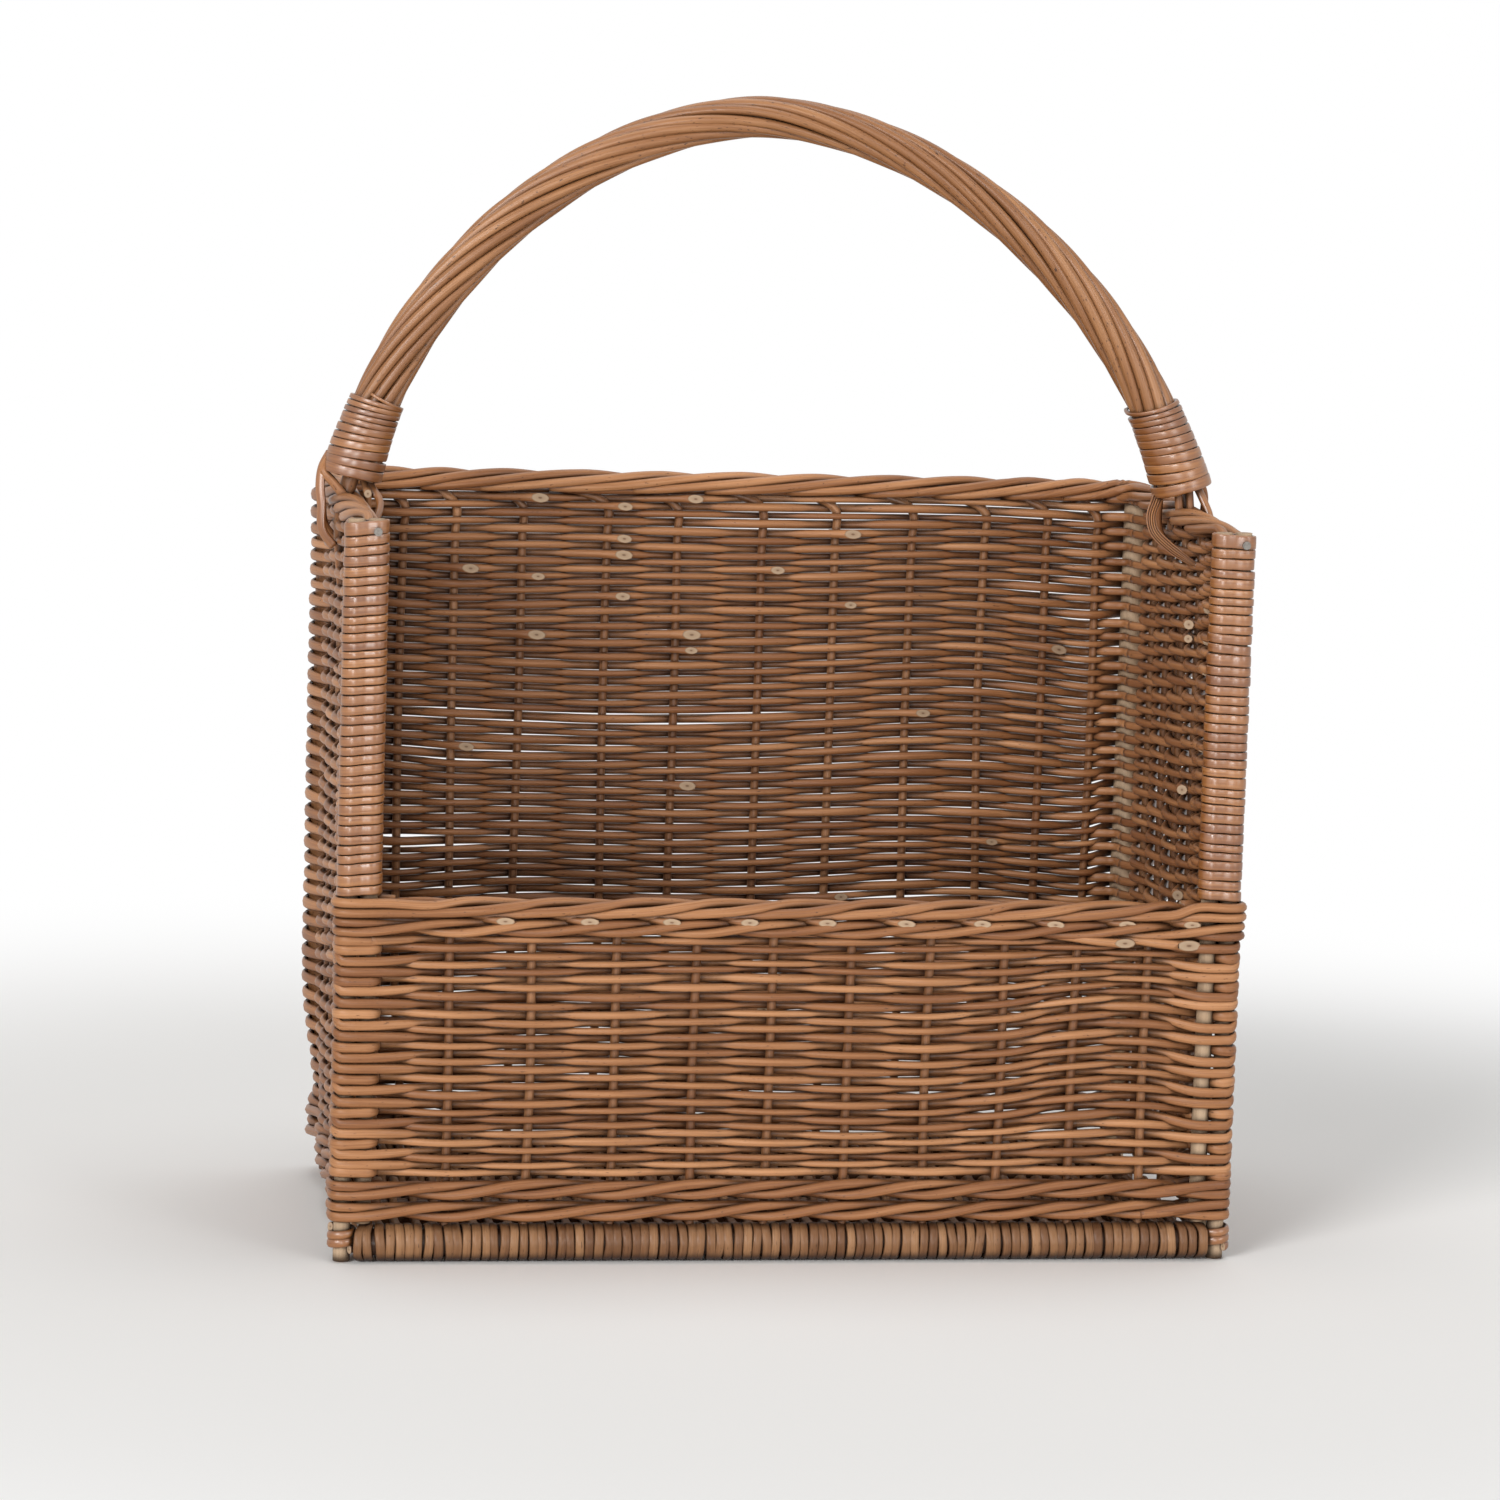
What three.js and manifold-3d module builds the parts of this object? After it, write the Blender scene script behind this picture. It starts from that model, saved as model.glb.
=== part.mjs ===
// A wicker bread basket with a hoop handle: an open-topped box of woven willow with a low front,
// two paired corner posts in front, two single ones behind, and a twisted handle over the sides.
// Millimetres, +Z up, +X to the right, +Y to the back. The origin is under the middle of the base.

import * as THREE from 'three';
import { mergeVertices } from 'three/addons/utils/BufferGeometryUtils.js';
import Module from 'manifold-3d';

const wasm = await Module();
wasm.setup();

// Gap that touching pieces keep, and how far a cutter runs past what it cuts
const clearance = 0.3;
const overrun = 1;

// Sides of the round sections
const postSides = 12;
const stickSides = 8;
const cornerSides = 16;
const legRodSides = 6;

// Plan of the basket, measured between the middles of its walls
const wallWidth = 450.4;
const wallDepth = 231;
const sideX = wallWidth / 2;
const frontY = -wallDepth / 2;
const backY = wallDepth / 2;

// Heights above the ground
const baseRailHeight = 20;
const bottomWaleTop = 45;
const topWaleHeight = 10;
const frontRimHeight = 10.5;
const frontRimTop = 190.5;
const sideRimTopFront = 386;
const backRimTop = 391.5;
const rimHeight = 13;
const frontPostTop = 382;
const postFootHeight = 0.5;
const handleTop = 600;

// Woven walls: a layer of weavers on each side of the stakes, thinner between stakes where they cross
const weaveThickness = 14;
const weaveWaist = 7;
const waleThickness = 17;
const rimThickness = 17;
const frontRimThickness = 20;

// Stakes, the first and last of each wall by their distance from the corner posts
const stakeDiameter = 5.2;
const stakeSides = 6;
const stakePegDepth = 11;
const frontStakeCount = 10;
const frontStakeLeftGap = 47.2;
const frontStakeRightGap = 36.9;
const frontStakeDrift = 0.062;
const backStakeCount = 11;
const backStakeLeftGap = 40.8;
const backStakeRightGap = 22.4;
const backStakeCrowding = 0.22;
const sideStakeCount = 5;
const sideStakeToBow = 9;
const sideStakePitch = 36;

// Base: a stout stick at the front and the back, thinner ones between, all woven over
const railStickDiameter = 14;
const innerStickDiameter = 8;
const baseWeaveThickness = 14;

// Corner posts
const frontRodDiameter = 10;
const backPostDiameter = 12.8;
const cornerWeaverThickness = 4.4;

// Turns round the front posts
const postTurnCount = 24;
const postTurnThickness = 2;
const turnGap = 0.7;
const windingArcSteps = 5;
const footTurnCount = 2;
const footTurnWidth = 4.3;
const footTurnThickness = 2.2;
const footBindingBottom = 5;
const nailHeadDiameter = 4.4;
const nailHeadThickness = 1;
const nailShankDiameter = 1.8;
const nailLength = 9;
const nailDrop = 4;

// Handle: its middle line is a hoop that leans a little to the left
const hoopSteps = 36;
const hoopFootRise = 6.75;
const hoopSpringDrop = 50.5;
const hoopLean = -10.1;
const hoopFootInset = 1.5;
const hoopSquareness = 1.1;
const handleRadiusApex = 11;
const handleRadiusShoulder = 12.5;
const handleRadiusFoot = 15;
const handleTaperLength = 250;
const handleRodCount = 10;
const handleFluteDepth = 1.1;
const handleTwistTurns = 2.4;
const bowDiameter = 9;
const bowSides = 6;
const bowLegLength = 190;
const bindingLength = 41;
const bindingTurnCount = 12;
const bindingThickness = 2.2;

// Loose handle rods and lashings at the rims
const legRodDiameter = 4.4;
const legRodSpread = 6.5;
const legRodLength = 46;
const outerLegRodDrop = 0.75;
const innerLegRodDrop = 5.25;
const lashingWidth = 5.4;
const lashingThickness = 1.8;
const outerLashingLength = 36;
const outerLashingDrop = 0.75;
const innerLashingReach = 52;
const innerLashingDrop = 27;
const innerLashingTopGap = 1;
const innerLashingUpperBend = 0.16;
const innerLashingLowerBend = 0.42;

const willow = { color: 0xb07f55, roughness: 0.55, metalness: 0 };
const darkWillow = { color: 0x9a6b45, roughness: 0.6, metalness: 0 };
const peeledWillow = { color: 0xc9b08a, roughness: 0.6, metalness: 0 };
const steel = { color: 0x8a8d90, roughness: 0.4, metalness: 0.9 };

const outerRodX = sideX + frontRodDiameter / 2;
const innerRodX = sideX - frontRodDiameter / 2;
const stakeRadius = stakeDiameter / 2;
const turnInside = (frontRodDiameter / 2 + clearance) / Math.cos(Math.PI / windingArcSteps / 2);
const frontBorderBottom = frontRimTop - frontRimHeight;
const topWaleBottom = frontBorderBottom - topWaleHeight;
const sideRimBottomFront = sideRimTopFront - rimHeight;
const backRimBottom = backRimTop - rimHeight;
const basket = new THREE.Group();

// Turns a closed geometry into a solid that can be joined and cut
function toSolid(geometry) {
  const bare = geometry.clone();
  bare.deleteAttribute('normal');
  bare.deleteAttribute('uv');
  const merged = mergeVertices(bare, 1e-4);
  return new wasm.Manifold(new wasm.Mesh({
    numProp: 3,
    vertProperties: Float32Array.from(merged.attributes.position.array),
    triVerts: Uint32Array.from(merged.index.array),
  }));
}

function toGeometry(solid) {
  const mesh = solid.getMesh();
  const geometry = new THREE.BufferGeometry();
  const corners = Float32Array.from(mesh.vertProperties);
  geometry.setAttribute('position', new THREE.BufferAttribute(corners, 3));
  geometry.setIndex(Array.from(mesh.triVerts));
  geometry.computeVertexNormals();
  return geometry;
}

function addPiece(name, geometry, finish) {
  const mesh = new THREE.Mesh(geometry, new THREE.MeshStandardMaterial(finish));
  mesh.name = name;
  basket.add(mesh);
}

// A round rod with its corners on the given diameter
function rod(from, to, diameter, sides = 10) {
  const along = new THREE.Vector3().subVectors(to, from);
  const geometry = new THREE.CylinderGeometry(diameter / 2, diameter / 2, along.length(), sides);
  const upward = new THREE.Vector3(0, 1, 0);
  const turn = new THREE.Quaternion().setFromUnitVectors(upward, along.clone().normalize());
  geometry.applyQuaternion(turn);
  geometry.translate((from.x + to.x) / 2, (from.y + to.y) / 2, (from.z + to.z) / 2);
  return geometry;
}

const point = (x, y, z) => new THREE.Vector3(x, y, z);
const uprightRod = (x, y, bottom, top, diameter, sides) => rod(
  point(x, y, bottom),
  point(x, y, top),
  diameter,
  sides,
);

// A bore that a rod of this diameter passes through with the clearance, whatever way its corners lie
function bore(from, to, diameter, sides = stakeSides) {
  const round = (diameter + 2 * clearance) / Math.cos(Math.PI / sides);
  return toSolid(rod(from, to, round, sides));
}

const uprightBore = (x, y, bottom, top, diameter, sides) => bore(
  point(x, y, bottom),
  point(x, y, top),
  diameter,
  sides,
);

function cut(solid, cutters) {
  return cutters.reduce((left, cutter) => left.subtract(cutter), solid);
}

// An upright wall with round ends, its middle line running along X
function roundEndedWall(halfLength, y, thickness, bottom, top, steps = 6) {
  const outline = new THREE.Shape();
  const radius = thickness / 2;
  for (let step = 0; step <= 2 * steps + 1; step += 1) {
    const end = step <= steps ? 1 : -1;
    const arcStep = step <= steps ? step : step - 1;
    const angle = -Math.PI / 2 + Math.PI * arcStep / steps;
    const x = end * halfLength + radius * Math.cos(angle);
    const across = y + radius * Math.sin(angle);
    if (step === 0) outline.moveTo(x, across);
    else outline.lineTo(x, across);
  }
  const geometry = new THREE.ExtrudeGeometry(outline, { depth: top - bottom, bevelEnabled: false });
  geometry.translate(0, 0, bottom);
  return toSolid(geometry);
}

function block(low, high) {
  const geometry = new THREE.BoxGeometry(high.x - low.x, high.y - low.y, high.z - low.z);
  geometry.translate((low.x + high.x) / 2, (low.y + high.y) / 2, (low.z + high.z) / 2);
  return toSolid(geometry);
}

// Joins rings of points into one closed skin with flat ends
function skin(rings) {
  const sides = rings[0].length;
  const positions = rings.flat().flatMap((corner) => corner.toArray());
  const index = [];
  for (let ring = 0; ring + 1 < rings.length; ring += 1) {
    for (let side = 0; side < sides; side += 1) {
      const here = ring * sides + side;
      const beside = ring * sides + (side + 1) % sides;
      index.push(here, beside, beside + sides, here, beside + sides, here + sides);
    }
  }
  const last = (rings.length - 1) * sides;
  for (let side = 1; side + 1 < sides; side += 1) {
    index.push(0, side + 1, side);
    index.push(last, last + side, last + side + 1);
  }
  const geometry = new THREE.BufferGeometry();
  geometry.setAttribute('position', new THREE.Float32BufferAttribute(positions, 3));
  geometry.setIndex(index);
  geometry.computeVertexNormals();
  return geometry;
}

// Rings of a section carried along a path. The section's first coordinate lies along the given
// normal, its second along the path's direction crossed with that normal.
function ringsAlong(path, normals, sectionAt) {
  return path.map((centre, step) => {
    const before = path[Math.max(step - 1, 0)];
    const after = path[Math.min(step + 1, path.length - 1)];
    const tangent = new THREE.Vector3().subVectors(after, before).normalize();
    const side = new THREE.Vector3().crossVectors(tangent, normals[step]).normalize();
    const normal = new THREE.Vector3().crossVectors(side, tangent);
    return sectionAt(step).map(([out, across]) => centre.clone()
      .addScaledVector(normal, out)
      .addScaledVector(side, across));
  });
}

function flatSection(thickness, width) {
  return [
    [-thickness / 2, -width / 2],
    [thickness / 2, -width / 2],
    [thickness / 2, width / 2],
    [-thickness / 2, width / 2],
  ];
}

function roundSection(radius, sides) {
  return Array.from({ length: sides }, (_, side) => {
    const angle = 2 * Math.PI * side / sides;
    return [radius * Math.cos(angle), radius * Math.sin(angle)];
  });
}

// Least distance between points of a winding that are at least half a turn apart
function leastGap(rings, stepsPerTurn) {
  let least = Infinity;
  for (let ring = 0; ring < rings.length; ring += 1) {
    const far = Math.min(rings.length - 1, ring + 2 * stepsPerTurn);
    for (let other = ring + Math.ceil(stepsPerTurn / 2); other <= far; other += 1) {
      for (const here of rings[ring]) {
        for (const there of rings[other]) least = Math.min(least, here.distanceTo(there));
      }
    }
  }
  return least;
}

// A flat strip wound round one or two upright rods, as one unbroken length. It starts and ends on
// a straight run along the front.
function uprightWinding(name, { centreX, rodsApart, turns, bottom, pitch, width, thickness }) {
  const arcSteps = windingArcSteps;
  const radius = turnInside + thickness / 2;
  const half = rodsApart / 2;
  const run = Math.max(half, width / 2);
  const loop = [];
  for (let step = 0; step <= arcSteps; step += 1) {
    const angle = -Math.PI / 2 + Math.PI * step / arcSteps;
    loop.push({ x: half, angle });
  }
  for (let step = 0; step <= arcSteps; step += 1) {
    const angle = Math.PI / 2 + Math.PI * step / arcSteps;
    loop.push({ x: -half, angle });
  }
  if (half === 0) loop.splice(arcSteps, 1);
  if (half === 0) loop.pop();
  const path = [point(centreX + half - run, frontY - radius, bottom + width / 2)];
  const normals = [point(0, -1, 0)];
  for (let step = 0; step <= turns * loop.length; step += 1) {
    const { x, angle } = loop[step % loop.length];
    const rise = pitch * step / loop.length;
    path.push(point(
      centreX + x + radius * Math.cos(angle),
      frontY + radius * Math.sin(angle),
      bottom + width / 2 + rise,
    ));
    normals.push(point(Math.cos(angle), Math.sin(angle), 0));
  }
  const end = path[path.length - 1];
  path.push(end.clone().add(point(run, 0, 0)));
  normals.push(point(0, -1, 0));
  const section = flatSection(thickness, width);
  const rings = ringsAlong(path, normals, () => section);
  console.log(`${name}: least gap between turns ${leastGap(rings, loop.length).toFixed(2)} mm`);
  return skin(rings);
}

const frontStakeFirstX = -sideX + frontStakeLeftGap;
const frontStakeLastX = sideX - frontStakeRightGap;
const frontStakeX = Array.from({ length: frontStakeCount }, (_, stake) => {
  const share = stake / (frontStakeCount - 1);
  const drifted = share + frontStakeDrift * share * (1 - share);
  return frontStakeFirstX + (frontStakeLastX - frontStakeFirstX) * drifted;
});

// The back stakes stand closer together towards the corners
const backStakeMiddleX = (backStakeLeftGap - backStakeRightGap) / 2;
const backStakeHalfSpan = sideX - (backStakeLeftGap + backStakeRightGap) / 2;
const backStakeX = Array.from({ length: backStakeCount }, (_, stake) => {
  const share = 2 * stake / (backStakeCount - 1) - 1;
  const crowded = share + backStakeCrowding / Math.PI * Math.sin(Math.PI * share);
  return backStakeMiddleX + backStakeHalfSpan * crowded;
});

// The bow of the handle goes down close behind the middle stake of each side
const sideStakeY = Array.from(
  { length: sideStakeCount },
  (_, stake) => -sideStakeToBow + sideStakePitch * (stake - (sideStakeCount - 1) / 2),
);

const railCentreZ = baseRailHeight / 2;
const stakeBottom = baseRailHeight - stakePegDepth;
const footTurnOuter = turnInside + footTurnThickness;
const frontRailEnd = outerRodX - footTurnOuter - clearance;
const backRailEnd = sideX - backPostDiameter / 2 - clearance;
const baseWeaveTop = railCentreZ + baseWeaveThickness / 2;
const baseWeaveBottom = railCentreZ - baseWeaveThickness / 2;
const sideStakeBottom = baseWeaveTop - stakePegDepth;
const sideSlope = (backRimBottom - sideRimBottomFront) / wallDepth;
const sideTop = (y) => sideRimBottomFront + sideSlope * (y - frontY);
const hoopFootHeight = sideTop(0) + rimHeight + hoopFootRise;
const hoopSpringHeight = hoopFootHeight - hoopSpringDrop;

// Base sticks, bored for the stakes that are pushed into them
function makeBase() {
  const along = (y, end) => [point(-end, y, railCentreZ), point(end, y, railCentreZ)];
  const railStick = (y, end, stakes) => {
    const stick = toSolid(rod(...along(y, end), railStickDiameter, postSides));
    return toGeometry(cut(stick, stakes.map((x) => uprightBore(
      x,
      y,
      stakeBottom - clearance,
      baseRailHeight + overrun,
      stakeDiameter,
    ))));
  };
  addPiece('base_front_stick', railStick(frontY, frontRailEnd, frontStakeX), peeledWillow);
  addPiece('base_back_stick', railStick(backY, backRailEnd, backStakeX), peeledWillow);

  const sideEnd = sideX + weaveThickness / 2;
  const innerStickY = sideStakeY.map((y) => y + sideStakePitch / 2);
  innerStickY.forEach((y, stick) => addPiece(
    `base_inner_stick_${stick + 1}`,
    rod(...along(y, sideEnd), innerStickDiameter, stickSides),
    peeledWillow,
  ));

  // Weavers run from front to back over and under the sticks, and turn round the two outer ones.
  // The turns are pressed flat underneath, where the basket stands.
  const railTurns = (y, end) => {
    const round = baseRailHeight / Math.cos(Math.PI / postSides);
    const sleeve = new THREE.CylinderGeometry(round / 2, round / 2, 2 * end, postSides);
    sleeve.rotateY(Math.PI / postSides);
    sleeve.rotateZ(Math.PI / 2);
    sleeve.translate(0, y, railCentreZ);
    return toSolid(sleeve);
  };
  const postRoom = Math.max(backPostDiameter / 2 + clearance, footTurnOuter + clearance);
  const slabEnd = wallDepth / 2 - postRoom;
  const slab = block(
    point(-sideEnd, -slabEnd, baseWeaveBottom),
    point(sideEnd, slabEnd, baseWeaveTop),
  );
  const middle = block(
    point(-backRailEnd, frontY, baseWeaveBottom),
    point(backRailEnd, backY, baseWeaveTop),
  );
  const woven = slab.add(middle)
    .add(railTurns(frontY, frontRailEnd))
    .add(railTurns(backY, backRailEnd));
  const stickBores = [
    bore(...along(frontY, sideX), railStickDiameter, postSides),
    bore(...along(backY, sideX), railStickDiameter, postSides),
    ...innerStickY.map((y) => bore(...along(y, sideEnd + overrun), innerStickDiameter)),
  ];
  const railPegBore = (x, y) => uprightBore(
    x,
    y,
    railCentreZ,
    baseRailHeight + overrun,
    stakeDiameter,
  );
  const pegBores = [
    ...frontStakeX.map((x) => railPegBore(x, frontY)),
    ...backStakeX.map((x) => railPegBore(x, backY)),
    ...sideStakeY.flatMap((y) => [-sideX, sideX].map((x) => uprightBore(
      x,
      y,
      sideStakeBottom - clearance,
      baseWeaveTop + overrun,
      stakeDiameter,
    ))),
  ];
  addPiece('base_weave', toGeometry(cut(woven, [...stickBores, ...pegBores])), willow);
}

// Each front corner has two rods side by side: the outer one runs down past the base, the inner
// one stands on the base rail.
const postNails = [
  { side: 'left', x: -innerRodX },
  { side: 'right', x: outerRodX },
];

function makeNail({ x }) {
  const face = frontY - frontRodDiameter / 2 - clearance - postTurnThickness;
  const z = frontPostTop - nailDrop;
  const headBack = face - clearance;
  const headFront = headBack - nailHeadThickness;
  const tip = headBack + nailLength;
  const head = toSolid(rod(point(x, headBack, z), point(x, headFront, z), nailHeadDiameter));
  const shank = toSolid(rod(point(x, headBack, z), point(x, tip, z), nailShankDiameter, stickSides));
  return toGeometry(head.add(shank.translate([0, -nailHeadThickness / 2, 0])));
}

function makePosts() {
  const nailBores = postNails.map(({ x }) => bore(
    point(x, frontY - frontRodDiameter, frontPostTop - nailDrop),
    point(x, frontY + frontRodDiameter, frontPostTop - nailDrop),
    nailShankDiameter,
  ));
  const frontRod = (x, bottom) => toGeometry(cut(
    toSolid(uprightRod(x, frontY, bottom, frontPostTop, frontRodDiameter, postSides)),
    nailBores,
  ));
  const backTop = backRimBottom - clearance;
  for (const [side, sign] of [['left', -1], ['right', 1]]) {
    const outer = frontRod(sign * (outerRodX + clearance / 2), postFootHeight);
    const inner = frontRod(sign * (innerRodX - clearance / 2), baseRailHeight + clearance);
    const back = uprightRod(sign * sideX, backY, postFootHeight, backTop, backPostDiameter, postSides);
    addPiece(`front_post_${side}_outer`, outer, peeledWillow);
    addPiece(`front_post_${side}_inner`, inner, peeledWillow);
    addPiece(`back_post_${side}`, back, peeledWillow);
  }
  postNails.forEach((nail) => addPiece(`post_nail_${nail.side}`, makeNail(nail), steel));
}

// Turns round the two rods of each front post above the low front, and round its foot
function makePostTurns() {
  const bottom = frontRimTop + clearance;
  const top = frontPostTop - nailDrop - nailShankDiameter;
  const pitch = (top - bottom + turnGap) / (postTurnCount + 1);
  for (const [side, sign] of [['left', -1], ['right', 1]]) {
    const name = `front_post_turns_${side}`;
    addPiece(name, uprightWinding(name, {
      centreX: sign * sideX,
      rodsApart: frontRodDiameter + clearance,
      turns: postTurnCount,
      bottom,
      pitch,
      width: pitch - turnGap,
      thickness: postTurnThickness,
    }), willow);
    const footName = `post_foot_binding_${side}`;
    addPiece(footName, uprightWinding(footName, {
      centreX: sign * (outerRodX + clearance / 2),
      rodsApart: 0,
      turns: footTurnCount,
      bottom: footBindingBottom,
      pitch: footTurnWidth + turnGap,
      width: footTurnWidth,
      thickness: footTurnThickness,
    }), willow);
  }
}

// The stakes of a wall turn down at the top and roll into its border, so they are one piece with it
function withStakes(border, stakes) {
  return stakes.reduce((comb, { x, y, bottom, top }) => comb.add(
    toSolid(uprightRod(x, y, bottom, top, stakeDiameter, stakeSides)),
  ), border);
}

// Bores for the stakes at the given places, through a course between two heights
const stakeBores = (places, bottom, top) => places.map(({ x, y }) => uprightBore(
  x,
  y,
  bottom - overrun,
  top + overrun,
  stakeDiameter,
));
const frontStakes = frontStakeX.map((x) => ({ x, y: frontY }));
const backStakes = backStakeX.map((x) => ({ x, y: backY }));

const lowFrontBottom = baseRailHeight + clearance;
const postBores = (bottom, top) => [-1, 1].flatMap((sign) => [
  uprightBore(sign * (outerRodX + clearance / 2), frontY, bottom, top, frontRodDiameter, postSides),
  uprightBore(sign * (innerRodX - clearance / 2), frontY, bottom, top, frontRodDiameter, postSides),
]);

// The grooves of a woven wall: one on each face between every two ribs, deepest midway. A rib is
// given by where it starts and ends along the wall, and spot turns along and across into a plan point.
function weaveGrooves(ribs, spot, bottom, top) {
  const face = weaveThickness / 2;
  return ribs.slice(1).flatMap(([end], gap) => [1, -1].map((side) => {
    const start = ribs[gap][1];
    const outline = new THREE.Shape([
      spot(start, side * face),
      spot(start, side * (face + overrun)),
      spot(end, side * (face + overrun)),
      spot(end, side * face),
      spot((start + end) / 2, side * weaveWaist / 2),
    ]);
    const depth = top - bottom + 2 * overrun;
    const groove = new THREE.ExtrudeGeometry(outline, { depth, bevelEnabled: false });
    groove.translate(0, 0, bottom - overrun);
    return toSolid(groove);
  }));
}

const ribAt = (place) => [place - stakeRadius, place + stakeRadius];

const groovesAlongX = (stakes, y, bottom, top) => weaveGrooves(
  stakes.map(({ x }) => ribAt(x)),
  (along, across) => new THREE.Vector2(along, y + across),
  bottom,
  top,
);

// The low front: bottom wale, plain weave, top wale and rolled border, all passing round the posts
function makeFront() {
  const course = (name, thickness, bottom, top, grooves = []) => {
    const wall = roundEndedWall(outerRodX, frontY, thickness, bottom, top);
    addPiece(name, toGeometry(cut(wall, [
      ...postBores(bottom - overrun, top + overrun),
      ...stakeBores(frontStakes, bottom, top),
      ...grooves,
    ])), willow);
  };
  const weaveTop = topWaleBottom - clearance;
  const grooves = groovesAlongX(frontStakes, frontY, bottomWaleTop, weaveTop);
  course('front_bottom_wale', waleThickness, lowFrontBottom, bottomWaleTop - clearance);
  course('front_weave', weaveThickness, bottomWaleTop, weaveTop, grooves);
  course('front_top_wale', waleThickness, topWaleBottom, frontBorderBottom - clearance);

  const border = roundEndedWall(
    outerRodX,
    frontY,
    frontRimThickness,
    frontBorderBottom,
    frontRimTop,
  );
  const bored = cut(border, postBores(frontBorderBottom - overrun, frontRimTop + overrun));
  addPiece('front_stakes_and_border', toGeometry(withStakes(bored, frontStakes.map((place) => ({
    ...place,
    bottom: stakeBottom,
    top: frontRimTop - stakeRadius,
  })))), willow);
}

// The back wall goes round both back posts, which push its weavers out at the corners
function makeBack() {
  const cornerRadius = backPostDiameter / 2 + cornerWeaverThickness;
  const wall = (thickness, bottom, top) => {
    const radius = Math.max(cornerRadius, thickness / 2);
    const field = block(
      point(-sideX, backY - thickness / 2, bottom),
      point(sideX, backY + thickness / 2, top),
    );
    const corners = [-sideX, sideX].map((x) => toSolid(
      uprightRod(x, backY, bottom, top, 2 * radius, cornerSides),
    ));
    return field.add(corners[0]).add(corners[1]);
  };
  const course = (name, thickness, bottom, top, grooves = []) => {
    addPiece(name, toGeometry(cut(wall(thickness, bottom, top), [
      ...grooves,
      ...stakeBores(backStakes, bottom, top),
      ...[-sideX, sideX].map((x) => uprightBore(
        x,
        backY,
        bottom - overrun,
        top + overrun,
        backPostDiameter,
        postSides,
      )),
    ])), darkWillow);
  };
  const weaveTop = backRimBottom - clearance;
  const grooves = groovesAlongX(backStakes, backY, bottomWaleTop, weaveTop);
  course('back_bottom_wale', waleThickness, lowFrontBottom, bottomWaleTop - clearance);
  course('back_weave', weaveThickness, bottomWaleTop, weaveTop, grooves);

  const border = wall(rimThickness, backRimBottom, backRimTop);
  addPiece('back_stakes_and_border', toGeometry(withStakes(border, backStakes.map((place) => ({
    ...place,
    bottom: stakeBottom,
    top: backRimTop - stakeRadius,
  })))), willow);
}

// Room that the side walls leave for the front courses and the back corners
function cornerRoom() {
  const backRadius = Math.max(backPostDiameter / 2 + cornerWeaverThickness, rimThickness / 2);
  const roomTop = backRimTop + overrun;
  const front = (thickness, bottom, top) => roundEndedWall(
    outerRodX,
    frontY,
    thickness + 2 * clearance,
    bottom - clearance,
    top + clearance,
  );
  return [
    front(waleThickness, 0, bottomWaleTop - clearance),
    front(weaveThickness, 0, frontPostTop),
    front(waleThickness, topWaleBottom, frontBorderBottom),
    front(frontRimThickness, frontBorderBottom, frontRimTop),
    front(2 * (turnInside + postTurnThickness), frontRimTop, frontPostTop + rimHeight),
    ...[-sideX, sideX].map((x) => toSolid(
      uprightRod(x, backY, 0, roomTop, 2 * (backRadius + clearance), cornerSides),
    )),
    block(
      point(-sideX, backY - rimThickness / 2 - clearance, 0),
      point(sideX, backY + rimThickness, roomTop),
    ),
  ];
}

const bowBore = (x) => uprightBore(
  x,
  0,
  hoopFootHeight - bowLegLength - clearance,
  backRimTop + overrun,
  bowDiameter,
  bowSides,
);

// The rib at a side's middle stake reaches past the bow to the last of the handle's loose rods
const sideRibs = sideStakeY.map((y) => {
  const [start, end] = ribAt(y);
  const lastLeg = legRodSpread + 1.5 * legRodDiameter + clearance;
  return y === -sideStakeToBow ? [start, lastLeg] : [start, end];
});

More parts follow.
